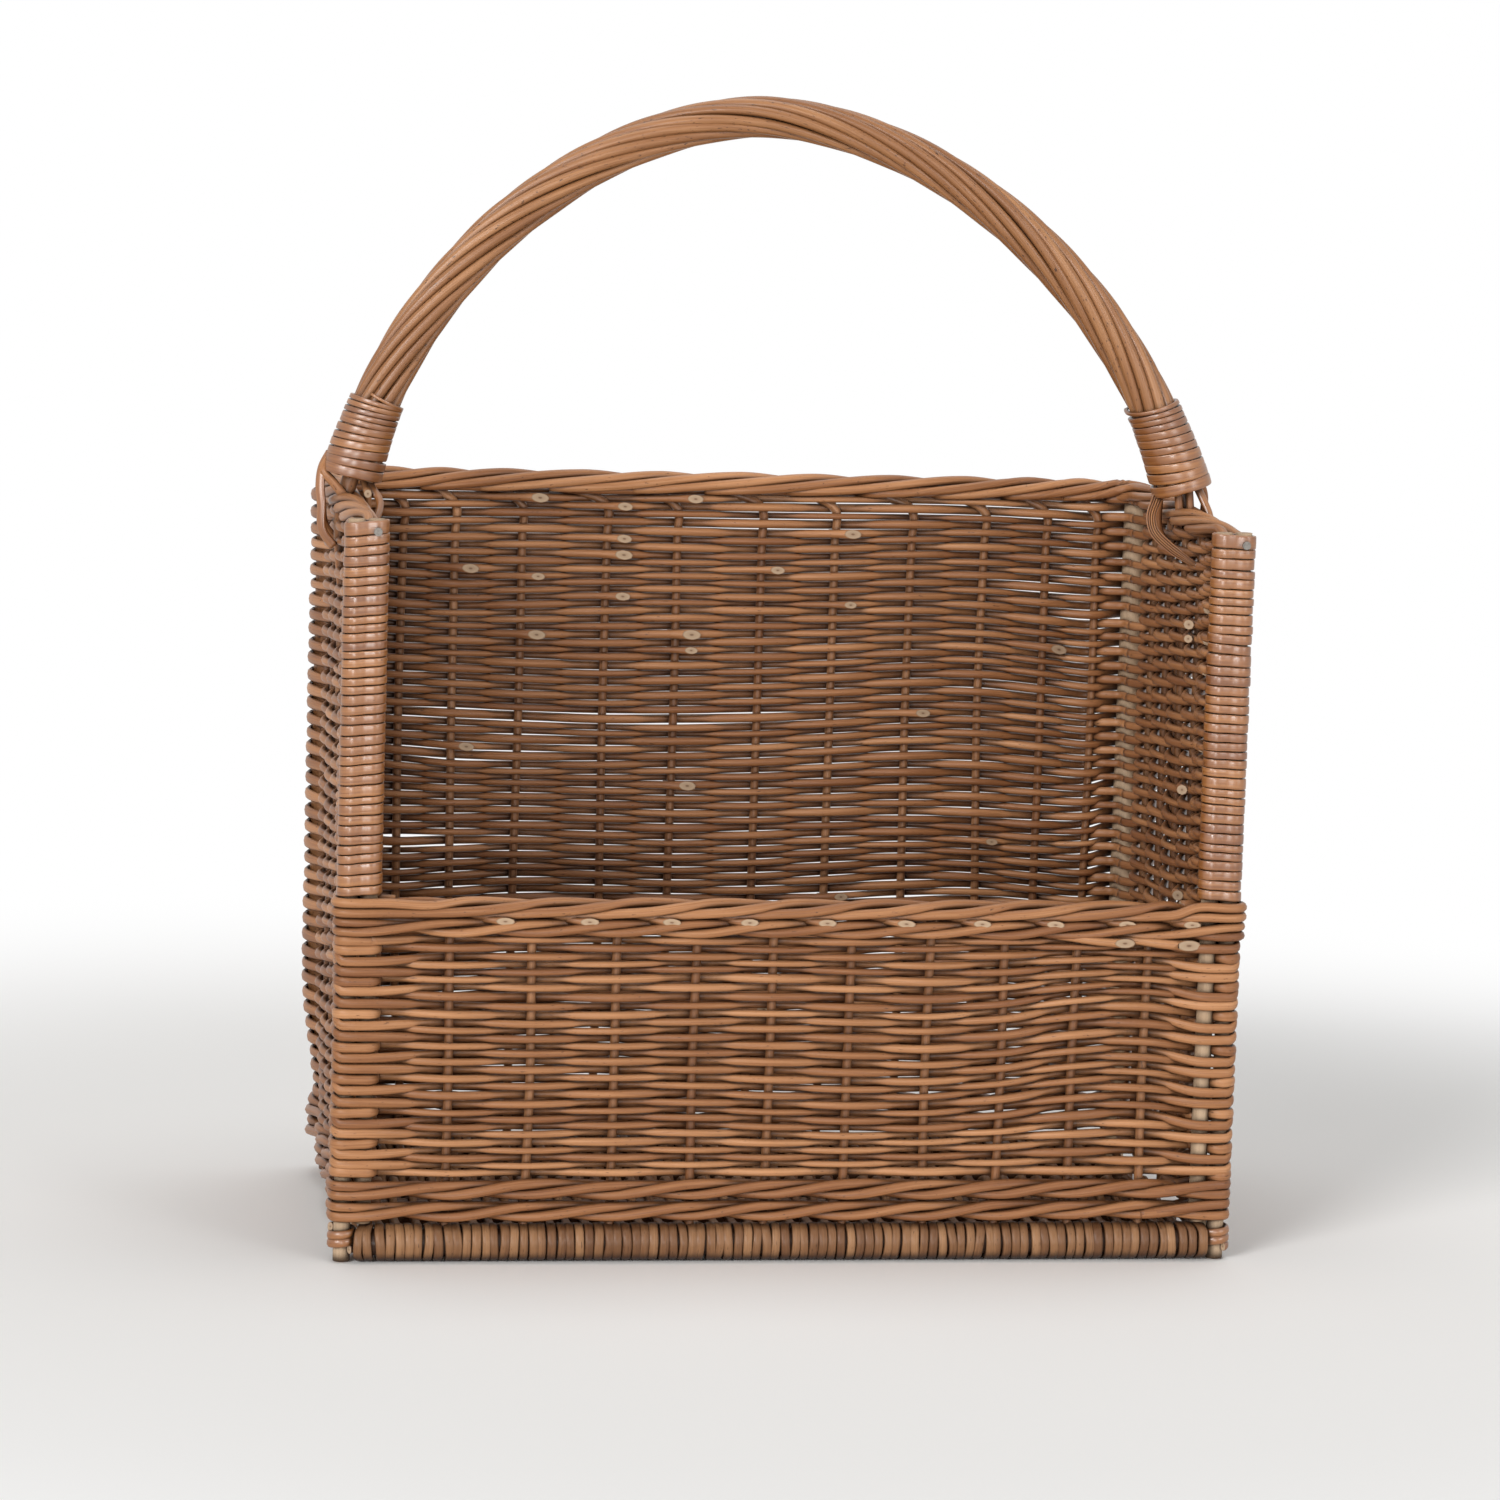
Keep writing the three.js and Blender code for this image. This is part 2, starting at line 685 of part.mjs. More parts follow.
// A side wall between two heights that rise towards the back, bored for its stakes and the bow
function makeSides() {
  const room = cornerRoom();
  const sideCourse = (x, thickness, bottomAt, topAt) => {
    const outline = new THREE.Shape();
    outline.moveTo(frontY, bottomAt(frontY));
    outline.lineTo(backY, bottomAt(backY));
    outline.lineTo(backY, topAt(backY));
    outline.lineTo(frontY, topAt(frontY));
    const wall = new THREE.ExtrudeGeometry(outline, { depth: thickness, bevelEnabled: false });
    // The outline's own X and Y become the basket's Y and Z
    wall.rotateX(Math.PI / 2);
    wall.rotateZ(Math.PI / 2);
    wall.translate(x - thickness / 2, 0, 0);
    return cut(toSolid(wall), room);
  };
  const waleBottom = baseWeaveTop + clearance;
  const waleTop = bottomWaleTop - clearance;
  for (const [side, x] of [['left', -sideX], ['right', sideX]]) {
    const stakes = sideStakeY.map((y) => ({ x, y }));
    const wale = sideCourse(x, waleThickness, () => waleBottom, () => waleTop);
    const boredWale = cut(wale, stakeBores(stakes, waleBottom, waleTop));
    addPiece(`${side}_bottom_wale`, toGeometry(boredWale), willow);
    const weave = sideCourse(x, weaveThickness, () => bottomWaleTop, (y) => sideTop(y) - clearance);
    const boredWeave = cut(weave, [
      ...weaveGrooves(
        sideRibs,
        (along, across) => new THREE.Vector2(x + across, along),
        bottomWaleTop,
        backRimTop,
      ),
      ...stakeBores(stakes, bottomWaleTop, backRimTop),
      bowBore(x),
    ]);
    addPiece(`${side}_weave`, toGeometry(boredWeave), side === 'left' ? willow : darkWillow);
    const border = sideCourse(x, rimThickness, sideTop, (y) => sideTop(y) + rimHeight);
    const comb = withStakes(cut(border, [bowBore(x)]), stakes.map((place) => ({
      ...place,
      bottom: sideStakeBottom,
      top: sideTop(place.y) + rimHeight / 2,
    })));
    addPiece(`${side}_stakes_and_border`, toGeometry(comb), willow);
  }
}

// The middle line of the handle from its left foot over the top to its right foot: a flattened
// hoop whose top is shifted sideways by the lean
class Hoop extends THREE.Curve {
  constructor() {
    super();
    this.rise = handleTop - handleRadiusApex - hoopSpringHeight;
    const footShare = (hoopFootHeight - hoopSpringHeight) / this.rise;
    this.footAngle = Math.asin(footShare ** (1 / hoopSquareness));
  }

  getPoint(share) {
    const angle = Math.PI - this.footAngle - share * (Math.PI - 2 * this.footAngle);
    const out = Math.sign(Math.cos(angle)) * Math.abs(Math.cos(angle)) ** hoopSquareness;
    const up = Math.sin(angle) ** hoopSquareness;
    const footUp = Math.sin(this.footAngle) ** hoopSquareness;
    const footOut = Math.cos(this.footAngle) ** hoopSquareness;
    const reach = (sideX - hoopFootInset) / footOut;
    return point(reach * out + hoopLean * (up - footUp), 0, hoopSpringHeight + this.rise * up);
  }
}

const hoop = new Hoop();
const hoopLength = hoop.getLength();

// Distance in millimetres along the handle from its nearer foot
const fromFoot = (share) => hoopLength * Math.min(share, 1 - share);

function handleRadiusAt(share) {
  const distance = fromFoot(share);
  if (distance < bindingLength) {
    return THREE.MathUtils.lerp(handleRadiusFoot, handleRadiusShoulder, distance / bindingLength);
  }
  const beyond = THREE.MathUtils.smoothstep(distance - bindingLength, 0, handleTaperLength);
  return THREE.MathUtils.lerp(handleRadiusShoulder, handleRadiusApex, beyond);
}

const hoopNormal = (share) => {
  const tangent = hoop.getTangentAt(share);
  return point(-tangent.z, 0, tangent.x);
};

function makeHandle() {
  const shares = Array.from({ length: hoopSteps + 1 }, (_, step) => step / hoopSteps);
  const path = shares.map((share) => hoop.getPointAt(share));
  const normals = shares.map(hoopNormal);

  // The bow: one rod over the top, its two ends pushed down inside the side walls
  const footAt = (sign) => point(sign * sideX, 0, hoopFootHeight - bowLegLength);
  const kneeAt = (sign) => point(sign * sideX, 0, backRimTop);
  const outward = (sign) => point(sign, 0, 0);
  const bowPath = [footAt(-1), kneeAt(-1), ...path, kneeAt(1), footAt(1)];
  const bowNormals = [outward(-1), outward(-1), ...normals, outward(1), outward(1)];
  const bowSection = roundSection(bowDiameter / 2, bowSides);
  addPiece('handle_bow', skin(ringsAlong(bowPath, bowNormals, () => bowSection)), peeledWillow);

  // The rods twisted round the bow, as one fluted sleeve
  const fluted = (step) => {
    const radius = handleRadiusAt(shares[step]);
    const turned = 2 * Math.PI * handleTwistTurns * shares[step];
    return Array.from({ length: 2 * handleRodCount }, (_, corner) => {
      const angle = turned + Math.PI * corner / handleRodCount;
      const reach = corner % 2 === 0 ? radius : radius - handleFluteDepth;
      return [reach * Math.cos(angle), reach * Math.sin(angle)];
    });
  };
  const boreSection = roundSection(bowDiameter / 2 + clearance, bowSides);
  const past = (end, next) => end.clone().addScaledVector(end.clone().sub(next).normalize(), overrun);
  const borePath = [past(path[0], path[1]), ...path, past(path[hoopSteps], path[hoopSteps - 1])];
  const boreNormals = [normals[0], ...normals, normals[hoopSteps]];
  const sleeve = toSolid(skin(ringsAlong(path, normals, fluted)));
  const hollow = toSolid(skin(ringsAlong(borePath, boreNormals, () => boreSection)));
  addPiece('handle_twisted_rods', toGeometry(sleeve.subtract(hollow)), willow);
}

// A flat strip wound round each foot of the handle, as one unbroken length with straight ends
function makeBindings() {
  const stepsPerTurn = 2 * windingArcSteps;
  const pitch = bindingLength / bindingTurnCount;
  const width = pitch - turnGap;
  const section = flatSection(bindingThickness, width);
  const steps = (bindingTurnCount - 1) * stepsPerTurn;
  for (const [side, atRight] of [['left', false], ['right', true]]) {
    const path = [];
    const normals = [];
    for (let step = 0; step <= steps; step += 1) {
      const distance = pitch / 2 + (bindingLength - pitch) * step / steps;
      const share = atRight ? 1 - distance / hoopLength : distance / hoopLength;
      const angle = 2 * Math.PI * step / stepsPerTurn;
      const normal = hoopNormal(share).multiplyScalar(Math.cos(angle));
      normal.y = Math.sin(angle);
      const inside = (handleRadiusAt(share) + clearance) / Math.cos(Math.PI / stepsPerTurn);
      path.push(hoop.getPointAt(share).addScaledVector(normal, inside + bindingThickness / 2));
      normals.push(normal);
    }
    const straight = (end, next) => {
      const away = end.clone().sub(next).normalize();
      return end.clone().addScaledVector(away, width);
    };
    const wound = [straight(path[0], path[1]), ...path, straight(path[steps], path[steps - 1])];
    const rings = ringsAlong(wound, [normals[0], ...normals, normals[steps]], () => section);
    const name = `handle_binding_${side}`;
    console.log(`${name}: least gap between turns ${leastGap(rings, stepsPerTurn).toFixed(2)} mm`);
    addPiece(name, skin(rings), willow);
  }
}

// Ends of the handle rods that come out under the bindings and lie against both faces of the
// rim, and the flat lashings that tie the handle down over it
function makeLegsAndLashings() {
  const rimBottom = sideTop(0);
  const rimTop = rimBottom + rimHeight;
  const rimFace = rimThickness / 2 + clearance;
  const weaveFace = weaveThickness / 2 + clearance;
  for (const [side, sign] of [['left', -1], ['right', 1]]) {
    // Outside they stand on both sides of the lashing, inside they both stand behind it
    const legPlaces = [
      { face: 1, y: -legRodSpread },
      { face: 1, y: legRodSpread },
      { face: -1, y: legRodSpread },
      { face: -1, y: legRodSpread + legRodDiameter + clearance },
    ];
    const legRods = legPlaces.map(({ face, y }) => {
      const half = legRodDiameter / 2;
      const top = hoopFootHeight - (face > 0 ? outerLegRodDrop : innerLegRodDrop);
      const low = top - legRodLength;
      const path = [
        point(sign * (sideX + face * (weaveFace + half)), y, low),
        point(sign * (sideX + face * (weaveFace + half)), y, low + legRodLength / 4),
        point(sign * (sideX + face * (rimFace + half)), y, rimBottom - clearance),
        point(sign * (sideX + face * (rimFace + half)), y, top),
      ];
      const section = roundSection(half, legRodSides);
      return skin(ringsAlong(path, path.map(() => point(0, 1, 0)), () => section));
    });
    legRods.forEach((leg, number) => addPiece(`handle_leg_rod_${side}_${number + 1}`, leg, willow));

    const across = flatSection(lashingThickness, lashingWidth);
    const half = lashingThickness / 2;
    const outerX = (out) => sign * (sideX + out + half);
    const outer = [
      point(outerX(rimFace), 0, hoopFootHeight - outerLashingDrop),
      point(outerX(rimFace), 0, rimBottom - clearance),
      point(outerX(weaveFace), 0, rimTop - outerLashingLength / 2),
      point(outerX(weaveFace), 0, rimTop - outerLashingLength),
    ];
    const outerRings = ringsAlong(outer, outer.map(() => point(sign, 0, 0)), () => across);
    addPiece(`outer_lashing_${side}`, skin(outerRings), willow);

    const innerX = (out) => sign * (sideX - out - half);
    const inner = [
      point(innerX(rimFace), 0, rimTop - innerLashingTopGap),
      point(innerX(rimFace), -innerLashingReach * innerLashingUpperBend, rimBottom + rimHeight / 2),
      point(innerX(rimFace), -innerLashingReach * innerLashingLowerBend, rimBottom - clearance),
      point(innerX(weaveFace), -innerLashingReach, rimTop - innerLashingDrop),
    ];
    const innerRings = ringsAlong(inner, inner.map(() => point(-sign, 0, 0)), () => across);
    addPiece(`inner_lashing_${side}`, skin(innerRings), willow);
  }
}

makeBase();
makePosts();
makePostTurns();
makeFront();
makeBack();
makeSides();
makeHandle();
makeBindings();
makeLegsAndLashings();

export default basket;
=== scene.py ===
import math

import bpy
import numpy as np
from mathutils import Matrix, Vector


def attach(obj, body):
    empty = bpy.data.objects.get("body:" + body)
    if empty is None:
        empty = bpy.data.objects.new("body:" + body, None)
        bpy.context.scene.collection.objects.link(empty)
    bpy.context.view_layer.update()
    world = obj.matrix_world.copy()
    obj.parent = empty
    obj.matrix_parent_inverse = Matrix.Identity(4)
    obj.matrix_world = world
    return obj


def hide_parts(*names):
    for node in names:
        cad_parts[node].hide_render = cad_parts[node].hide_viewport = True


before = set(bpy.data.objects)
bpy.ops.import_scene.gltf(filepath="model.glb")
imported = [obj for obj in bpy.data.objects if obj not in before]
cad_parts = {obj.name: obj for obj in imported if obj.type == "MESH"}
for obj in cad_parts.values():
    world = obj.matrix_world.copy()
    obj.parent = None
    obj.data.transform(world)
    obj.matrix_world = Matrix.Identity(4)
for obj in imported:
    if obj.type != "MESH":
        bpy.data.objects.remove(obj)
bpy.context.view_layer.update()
print("frame loaded:", len(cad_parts), "nodes")

# Everything below is worked out in millimetres and put into the meshes in metres
millimetre = 0.001


def newObject(name, data):
    made = bpy.data.objects.new(name, data)
    bpy.context.scene.collection.objects.link(made)
    return made


def unit(vectors):
    # Each vector divided by its own length
    vectors = np.asarray(vectors, float)
    return vectors / np.maximum(np.linalg.norm(vectors, axis=-1, keepdims=True), 1e-9)


def ease(t):
    # Three t squared minus two t cubed: from 0 to 1, level at both ends
    return t * t * (3 - 2 * t)


# ---- camera, light and floor

cameraView = {
    "azimuth": -8.99,        # degrees, the camera stands a little to the left
    "elevation": 7.52,
    "roll": 1.77,
    "distance": 3085.08,
    "target": (-7.12, 0.0, 252.23),
    "focalPixels": 5767.64, "framePixels": 1500,
    "sensorWidth": 36,       # millimetres on the sensor
    "clipEnd": 50,           # metres
}


def placeCamera(view):
    # The view direction from azimuth and elevation, then a turn about it by the roll
    a, e, r = (math.radians(view[k]) for k in ("azimuth", "elevation", "roll"))
    back = np.array([math.sin(a) * math.cos(e), -math.cos(a) * math.cos(e), math.sin(e)])
    level = unit(np.cross(-back, [0, 0, 1.0]))
    above = np.cross(level, -back)
    right = level * math.cos(r) + above * math.sin(r)
    up = -level * math.sin(r) + above * math.cos(r)
    place = (np.array(view["target"]) + back * view["distance"]) * millimetre
    camera = bpy.data.cameras.new("camera")
    camera.sensor_width = view["sensorWidth"]
    camera.lens = view["focalPixels"] / view["framePixels"] * view["sensorWidth"]
    camera.clip_end = view["clipEnd"]
    holder = newObject("camera", camera)
    holder.matrix_world = Matrix(np.column_stack([right, up, back, place]).tolist() + [[0, 0, 0, 1]])
    bpy.context.scene.camera = holder


placeCamera(cameraView)
bpy.context.scene.view_settings.view_transform = "Standard"
print("camera placed")


def toLinear(hexColour):
    # Each sRGB channel below 0.04045 is divided by 12.92, the others follow the 2.4 power curve
    channels = np.array([int(hexColour[i:i + 2], 16) for i in (1, 3, 5)]) / 255
    linear = np.where(channels <= 0.04045, channels / 12.92, ((channels + 0.055) / 1.055) ** 2.4)
    return (*linear, 1.0)


def addNode(tree, kind, links=(), **settings):
    # links fills the input sockets, in order or by name or number, each with a value, a socket or the
    # first output of another node. The settings are properties of the node itself.
    node = tree.nodes.new(kind)
    for name, value in settings.items():
        setattr(node, name, value)
    for socket, source in links.items() if isinstance(links, dict) else enumerate(links):
        if isinstance(source, bpy.types.Node):
            source = source.outputs[0]
        if isinstance(source, bpy.types.NodeSocket):
            tree.links.new(source, node.inputs[socket])
        else:
            node.inputs[socket].default_value = source
    return node


def newMaterial(name, values):
    # A Principled material with the given values on the shader's own sockets
    material = bpy.data.materials.new(name)
    material.use_nodes = True
    shader = material.node_tree.nodes["Principled BSDF"]
    for socket, value in values.items():
        shader.inputs[socket].default_value = value
    return material, material.node_tree, shader


stageLook = {
    "floorColour": "#f8f7f5", "floorReach": 30.0,   # metres
    "floorRoughness": 0.9,
    "floorPatch": (0.42, 1.15),   # metres from the basket: paper up to the first, plain white from the second
    "worldStrength": 0.15,
    # The suns: strength, angle in degrees, and where each one shines from
    "lamps": {
        "key": (1.95, 24, (-0.8, -0.9, 0.5)),
        "fill": (0.75, 24, (0.7, -0.95, 0.25)),
        "front": (0.95, 8, (-0.17, -0.98, 0.035)),
        "top": (1.3, 60, (0.1, 0.15, 1.0)),
    },
}


def whiteSeenBy(tree):
    # 1 for the rays of the camera, of mirror images and through glass, 0 for the rays that light things
    rays = addNode(tree, "ShaderNodeLightPath").outputs
    seen = addNode(tree, "ShaderNodeMath", (rays["Is Camera Ray"], rays["Is Glossy Ray"]),
                   operation="MAXIMUM")
    return addNode(tree, "ShaderNodeMath", (seen, rays["Is Transmission Ray"]), operation="MAXIMUM")


def mixInWhite(tree, share, shader, whiteKind, outputName):
    # The share of a white at strength 1, and the shader for the rest
    white = addNode(tree, whiteKind, {"Color": (1, 1, 1, 1), "Strength": 1.0})
    mix = addNode(tree, "ShaderNodeMixShader", (share, shader, white))
    tree.links.new(mix.outputs[0], tree.nodes[outputName].inputs["Surface"])


def makeStage(look):
    floorMesh = bpy.data.meshes.new("floor")
    reach = look["floorReach"]
    floorMesh.from_pydata([(-reach, -reach, 0), (reach, -reach, 0), (reach, reach, 0), (-reach, reach, 0)],
                          [], [(0, 1, 2, 3)])
    # Even matt paper, which takes only the soft shadow. Away from the basket it turns into the plain
    # white that the world shows.
    paint, tree, shader = newMaterial("paleMattPaper", {"Base Color": toLinear(look["floorColour"]),
                                                        "Roughness": look["floorRoughness"],
                                                        "Specular IOR Level": 0.0})
    spot = addNode(tree, "ShaderNodeTexCoord")
    distance = addNode(tree, "ShaderNodeVectorMath", (spot.outputs["Object"],), operation="LENGTH")
    fade = addNode(tree, "ShaderNodeMapRange", (distance.outputs["Value"], *look["floorPatch"]),
                   interpolation_type="SMOOTHERSTEP")
    share = addNode(tree, "ShaderNodeMath", (fade, whiteSeenBy(tree)), operation="MULTIPLY")
    mixInWhite(tree, share, shader, "ShaderNodeEmission", "Material Output")
    floorMesh.materials.append(paint)
    newObject("floor", floorMesh)

    world = bpy.data.worlds.new("studio")
    world.use_nodes = True
    tree = world.node_tree
    light = tree.nodes["Background"]
    light.inputs["Color"].default_value = (1, 1, 1, 1)
    light.inputs["Strength"].default_value = look["worldStrength"]
    mixInWhite(tree, whiteSeenBy(tree), light, "ShaderNodeBackground", "World Output")
    bpy.context.scene.world = world

    for name, (strength, angle, comesFrom) in look["lamps"].items():
        lamp = bpy.data.lights.new(name, "SUN")
        lamp.energy = strength
        lamp.angle = math.radians(angle)
        holder = newObject(name, lamp)
        holder.rotation_mode = "QUATERNION"
        holder.rotation_quaternion = (-Vector(comesFrom)).to_track_quat("-Z", "Y")


makeStage(stageLook)
print("stage set")

# ---- materials

willowLook = {
    "dark": "#6d4228", "middle": "#99663e", "light": "#c69166",
    "speckColour": "#3d2416", "speckFrom": 0.68, "speckSoft": 0.05, "speckDepth": 0.85,
    "tintReach": 0.55, "blotchReach": 0.7, "streakReach": 0.85,
    # Painted shade: the colour, depth and reach of the darkening where rods lie close together
    "paintedShadeColour": "#2a160c", "paintedShadeDepth": 0.9, "paintedShadeReach": 0.007,   # metres
    "paintedShadeOpen": (0.3, 0.92),     # how open a place is to the air, from full painted shade to none
    "roughness": 0.4, "sheenSpread": (-0.06, 0.08), "specular": 0.32, "refraction": 1.5,   # plant fibre, waxy
    "grain": 0.5, "grainHeight": 0.0003,
    # Noises: scale along the rod and round it, detail and roughness
    "blotchNoise": (17, 0.45, 2.0, 0.5),    # patches about 60 mm long
    "streakNoise": (30, 4.2, 3.0, 0.6),     # fibres some 30 mm long, a tenth of the rod wide
    "speckNoise": (260, 2.6, 2.0, 0.6),     # lenticels and scars 2 to 4 mm long, drawn coarse enough to show
    "rodStep": 37.0,    # how far apart the lightest and the darkest rod read their noises
}
skeinLook = {**willowLook, "dark": "#60351a", "middle": "#855025", "light": "#b97d42", "roughness": 0.33,
             "specular": 1.0, "paintedShadeDepth": 1.0, "tintReach": 0.22, "speckFrom": 0.73, "grain": 0.25}
handleRodLook = {**willowLook, "dark": "#6f4527", "middle": "#8d5d37", "light": "#bc8a5f", "roughness": 0.36,
                 "specular": 0.45, "tintReach": 0.3, "grain": 0.15, "paintedShadeDepth": 0.5, "speckFrom": 0.65}
railLook = {**willowLook, "dark": "#593924", "middle": "#7c5637", "light": "#a27955", "specular": 0.3,
            "tintReach": 0.6}
peeledLook = {**willowLook, "dark": "#a3876a", "middle": "#bda184", "light": "#d8c0a2", "roughness": 0.6,
              "speckFrom": 0.76, "specular": 0.2}


def makeWillow(name, look):
    # Buff willow, boiled in its bark and then stripped: warm brown rods with a low satin skin,
    # faint streaks along the rod, small dark specks, each rod a little lighter or darker, and painted shade
    # between close rods.
    material, tree, shader = newMaterial(name, {"Specular IOR Level": look["specular"],
                                                "IOR": look["refraction"]})
    rodMap = addNode(tree, "ShaderNodeUVMap", uv_map="rodMap")
    parts = addNode(tree, "ShaderNodeSeparateXYZ", (rodMap,)).outputs
    turn = addNode(tree, "ShaderNodeMath", (parts["Y"], 2 * math.pi), operation="MULTIPLY")
    sine = addNode(tree, "ShaderNodeMath", (turn,), operation="SINE")
    cosine = addNode(tree, "ShaderNodeMath", (turn,), operation="COSINE")
    tint = addNode(tree, "ShaderNodeAttribute", attribute_name="rodTint").outputs["Fac"]
    along = addNode(tree, "ShaderNodeMath", (tint, look["rodStep"], parts["X"]), operation="MULTIPLY_ADD")

    def ringNoise(alongScale, aroundScale, detail, roughness):
        # Noise read at (distance along the rod, sine and cosine of the angle round it), so it has no seam
        place = [addNode(tree, "ShaderNodeMath", (part, scale), operation="MULTIPLY") for part, scale in
                 ((along, alongScale), (sine, aroundScale), (cosine, aroundScale))]
        return addNode(tree, "ShaderNodeTexNoise", {
            "Vector": addNode(tree, "ShaderNodeCombineXYZ", place), "Scale": 1.0, "Detail": detail,
            "Roughness": roughness}).outputs["Fac"]

    blotch, streak, speck = (ringNoise(*look[key]) for key in ("blotchNoise", "streakNoise", "speckNoise"))

    # The rod's tint, the blotches and the streaks add up to a place on the ramp. Half of each reach is
    # taken off again, so that the middle of all three is the ramp's middle.
    tone = addNode(tree, "ShaderNodeMath", (tint, look["tintReach"], 0.5 - look["tintReach"] / 2),
                   operation="MULTIPLY_ADD")
    for noise, reach in ((blotch, look["blotchReach"]), (streak, look["streakReach"])):
        tone = addNode(tree, "ShaderNodeMath", (noise, reach, tone), operation="MULTIPLY_ADD")
    centre = addNode(tree, "ShaderNodeMath", (tone, (look["blotchReach"] + look["streakReach"]) / 2),
                     operation="SUBTRACT", use_clamp=True)
    ramp = addNode(tree, "ShaderNodeValToRGB", (centre,))
    ramp.color_ramp.interpolation = "B_SPLINE"
    stops = ramp.color_ramp.elements
    stops[0].color = toLinear(look["dark"])
    stops[1].color = toLinear(look["light"])
    stops.new(0.5).color = toLinear(look["middle"])

    speckFull = look["speckFrom"] + look["speckSoft"]
    mark = addNode(tree, "ShaderNodeMapRange", (speck, look["speckFrom"], speckFull, 0.0, look["speckDepth"]))
    # A colour mix takes its colours at sockets 6 and 7 and gives one at output 2
    marked = addNode(tree, "ShaderNodeMix", {0: mark, 6: ramp, 7: toLinear(look["speckColour"])},
                     data_type="RGBA")
    # Where rods lie close together the colour is pulled towards a dark brown: painted shade in the gaps and
    # corners between them
    near = addNode(tree, "ShaderNodeAmbientOcclusion", {"Distance": look["paintedShadeReach"]}, samples=8)
    close = addNode(tree, "ShaderNodeMapRange", (near.outputs["AO"], *look["paintedShadeOpen"],
                                                 look["paintedShadeDepth"], 0.0))
    shadePainted = addNode(tree, "ShaderNodeMix", {0: close, 6: marked.outputs[2],
                                              7: toLinear(look["paintedShadeColour"])}, data_type="RGBA")
    tree.links.new(shadePainted.outputs[2], shader.inputs["Base Color"])

    smoothest, roughest = (look["roughness"] + spread for spread in look["sheenSpread"])
    sheen = addNode(tree, "ShaderNodeMapRange", (streak, 0.3, 0.7, smoothest, roughest))
    tree.links.new(sheen.outputs["Result"], shader.inputs["Roughness"])
    bump = addNode(tree, "ShaderNodeBump", {"Height": streak, "Strength": look["grain"],
                                            "Distance": look["grainHeight"]})
    tree.links.new(bump.outputs[0], shader.inputs["Normal"])
    return material


willowWeave = makeWillow("buffWillowRods", willowLook)
willowSkein = makeWillow("splitWillowSkein", skeinLook)
willowHandle = makeWillow("buffWillowHandleRods", handleRodLook)
willowRail = makeWillow("flattenedWillowTurns", railLook)
willowPeeled = makeWillow("peeledWillowSticks", peeledLook)

# The cut end's colours from its middle outwards, as places on the radius
cutLook = {"pith": (0.12, "#755840"), "wood": [(0.28, "#a58a6f"), (0.78, "#b0977c")],
           "skin": (1.0, "#7a5638"), "roughness": 0.75}


def makeCutWillow(look):
    # A rod cut across with a knife: pale dry wood, a darker skin at the edge and a small brown pith
    material, tree, shader = newMaterial("knifeCutWillow", {"Roughness": look["roughness"]})
    rodMap = addNode(tree, "ShaderNodeUVMap", uv_map="rodMap")
    length = addNode(tree, "ShaderNodeVectorMath", (rodMap,), operation="LENGTH")
    ramp = addNode(tree, "ShaderNodeValToRGB", (length.outputs["Value"],))
    stops = ramp.color_ramp.elements
    for stop, (position, colour) in zip(stops, (look["pith"], look["skin"])):
        stop.position = position
        stop.color = toLinear(colour)
    for position, colour in look["wood"]:
        stops.new(position).color = toLinear(colour)
    tree.links.new(ramp.outputs["Color"], shader.inputs["Base Color"])
    return material


willowCut = makeCutWillow(cutLook)

steelLook = {"dark": "#5b5651", "light": "#8b8680", "metallic": 0.9, "roughness": 0.5,
             "stainScale": 900.0}   # stains about a millimetre wide


def makeSteel(look):
    # Drawn mild steel wire nail, dulled by handling: grey with a soft broken gloss
    material, tree, shader = newMaterial("dullNailSteel", {"Metallic": look["metallic"],
                                                           "Roughness": look["roughness"]})
    coordinates = addNode(tree, "ShaderNodeTexCoord")
    stain = addNode(tree, "ShaderNodeTexNoise", {"Vector": coordinates.outputs["Object"],
                                                 "Scale": look["stainScale"]})
    ramp = addNode(tree, "ShaderNodeValToRGB", (stain.outputs["Fac"],))
    ramp.color_ramp.elements[0].color = toLinear(look["dark"])
    ramp.color_ramp.elements[1].color = toLinear(look["light"])
    tree.links.new(ramp.outputs["Color"], shader.inputs["Base Color"])
    return material


nailSteel = makeSteel(steelLook)
for nodeName in ("post_nail_left", "post_nail_right"):
    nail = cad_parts[nodeName]
    nail.data.materials.clear()
    nail.data.materials.append(nailSteel)
print("materials made")

# ---- rods: paths, and sections carried along them


def smoothPath(controls, spacing=4.5):
    # A cubic through every control: at each one the slope is the mean of the slopes before and
    # after it, each weighted by the other's length. Columns after the third ride along.
    points = np.asarray(controls, float)
    gaps = np.maximum(np.linalg.norm(np.diff(points[:, :3], axis=0), axis=1), 1e-6)
    slopes = np.diff(points, axis=0) / gaps[:, None]
    inner = (slopes[:-1] * gaps[1:, None] + slopes[1:] * gaps[:-1, None]) / (gaps[1:] + gaps[:-1])[:, None]
    tangents = np.vstack([slopes[:1], inner, slopes[-1:]])
    steps = np.maximum(2, np.ceil(gaps / spacing)).astype(int)
    span = np.repeat(np.arange(len(gaps)), steps)
    first = np.repeat(np.cumsum(steps) - steps, steps)
    t = ((np.arange(steps.sum()) - first) / np.repeat(steps, steps))[:, None]
    h = gaps[span][:, None]
    path = ((2 * t ** 3 - 3 * t ** 2 + 1) * points[span] + (t ** 3 - 2 * t ** 2 + t) * h * tangents[span]
            + (3 * t ** 2 - 2 * t ** 3) * points[span + 1] + (t ** 3 - t ** 2) * h * tangents[span + 1])
    return np.vstack([path, points[-1:]])


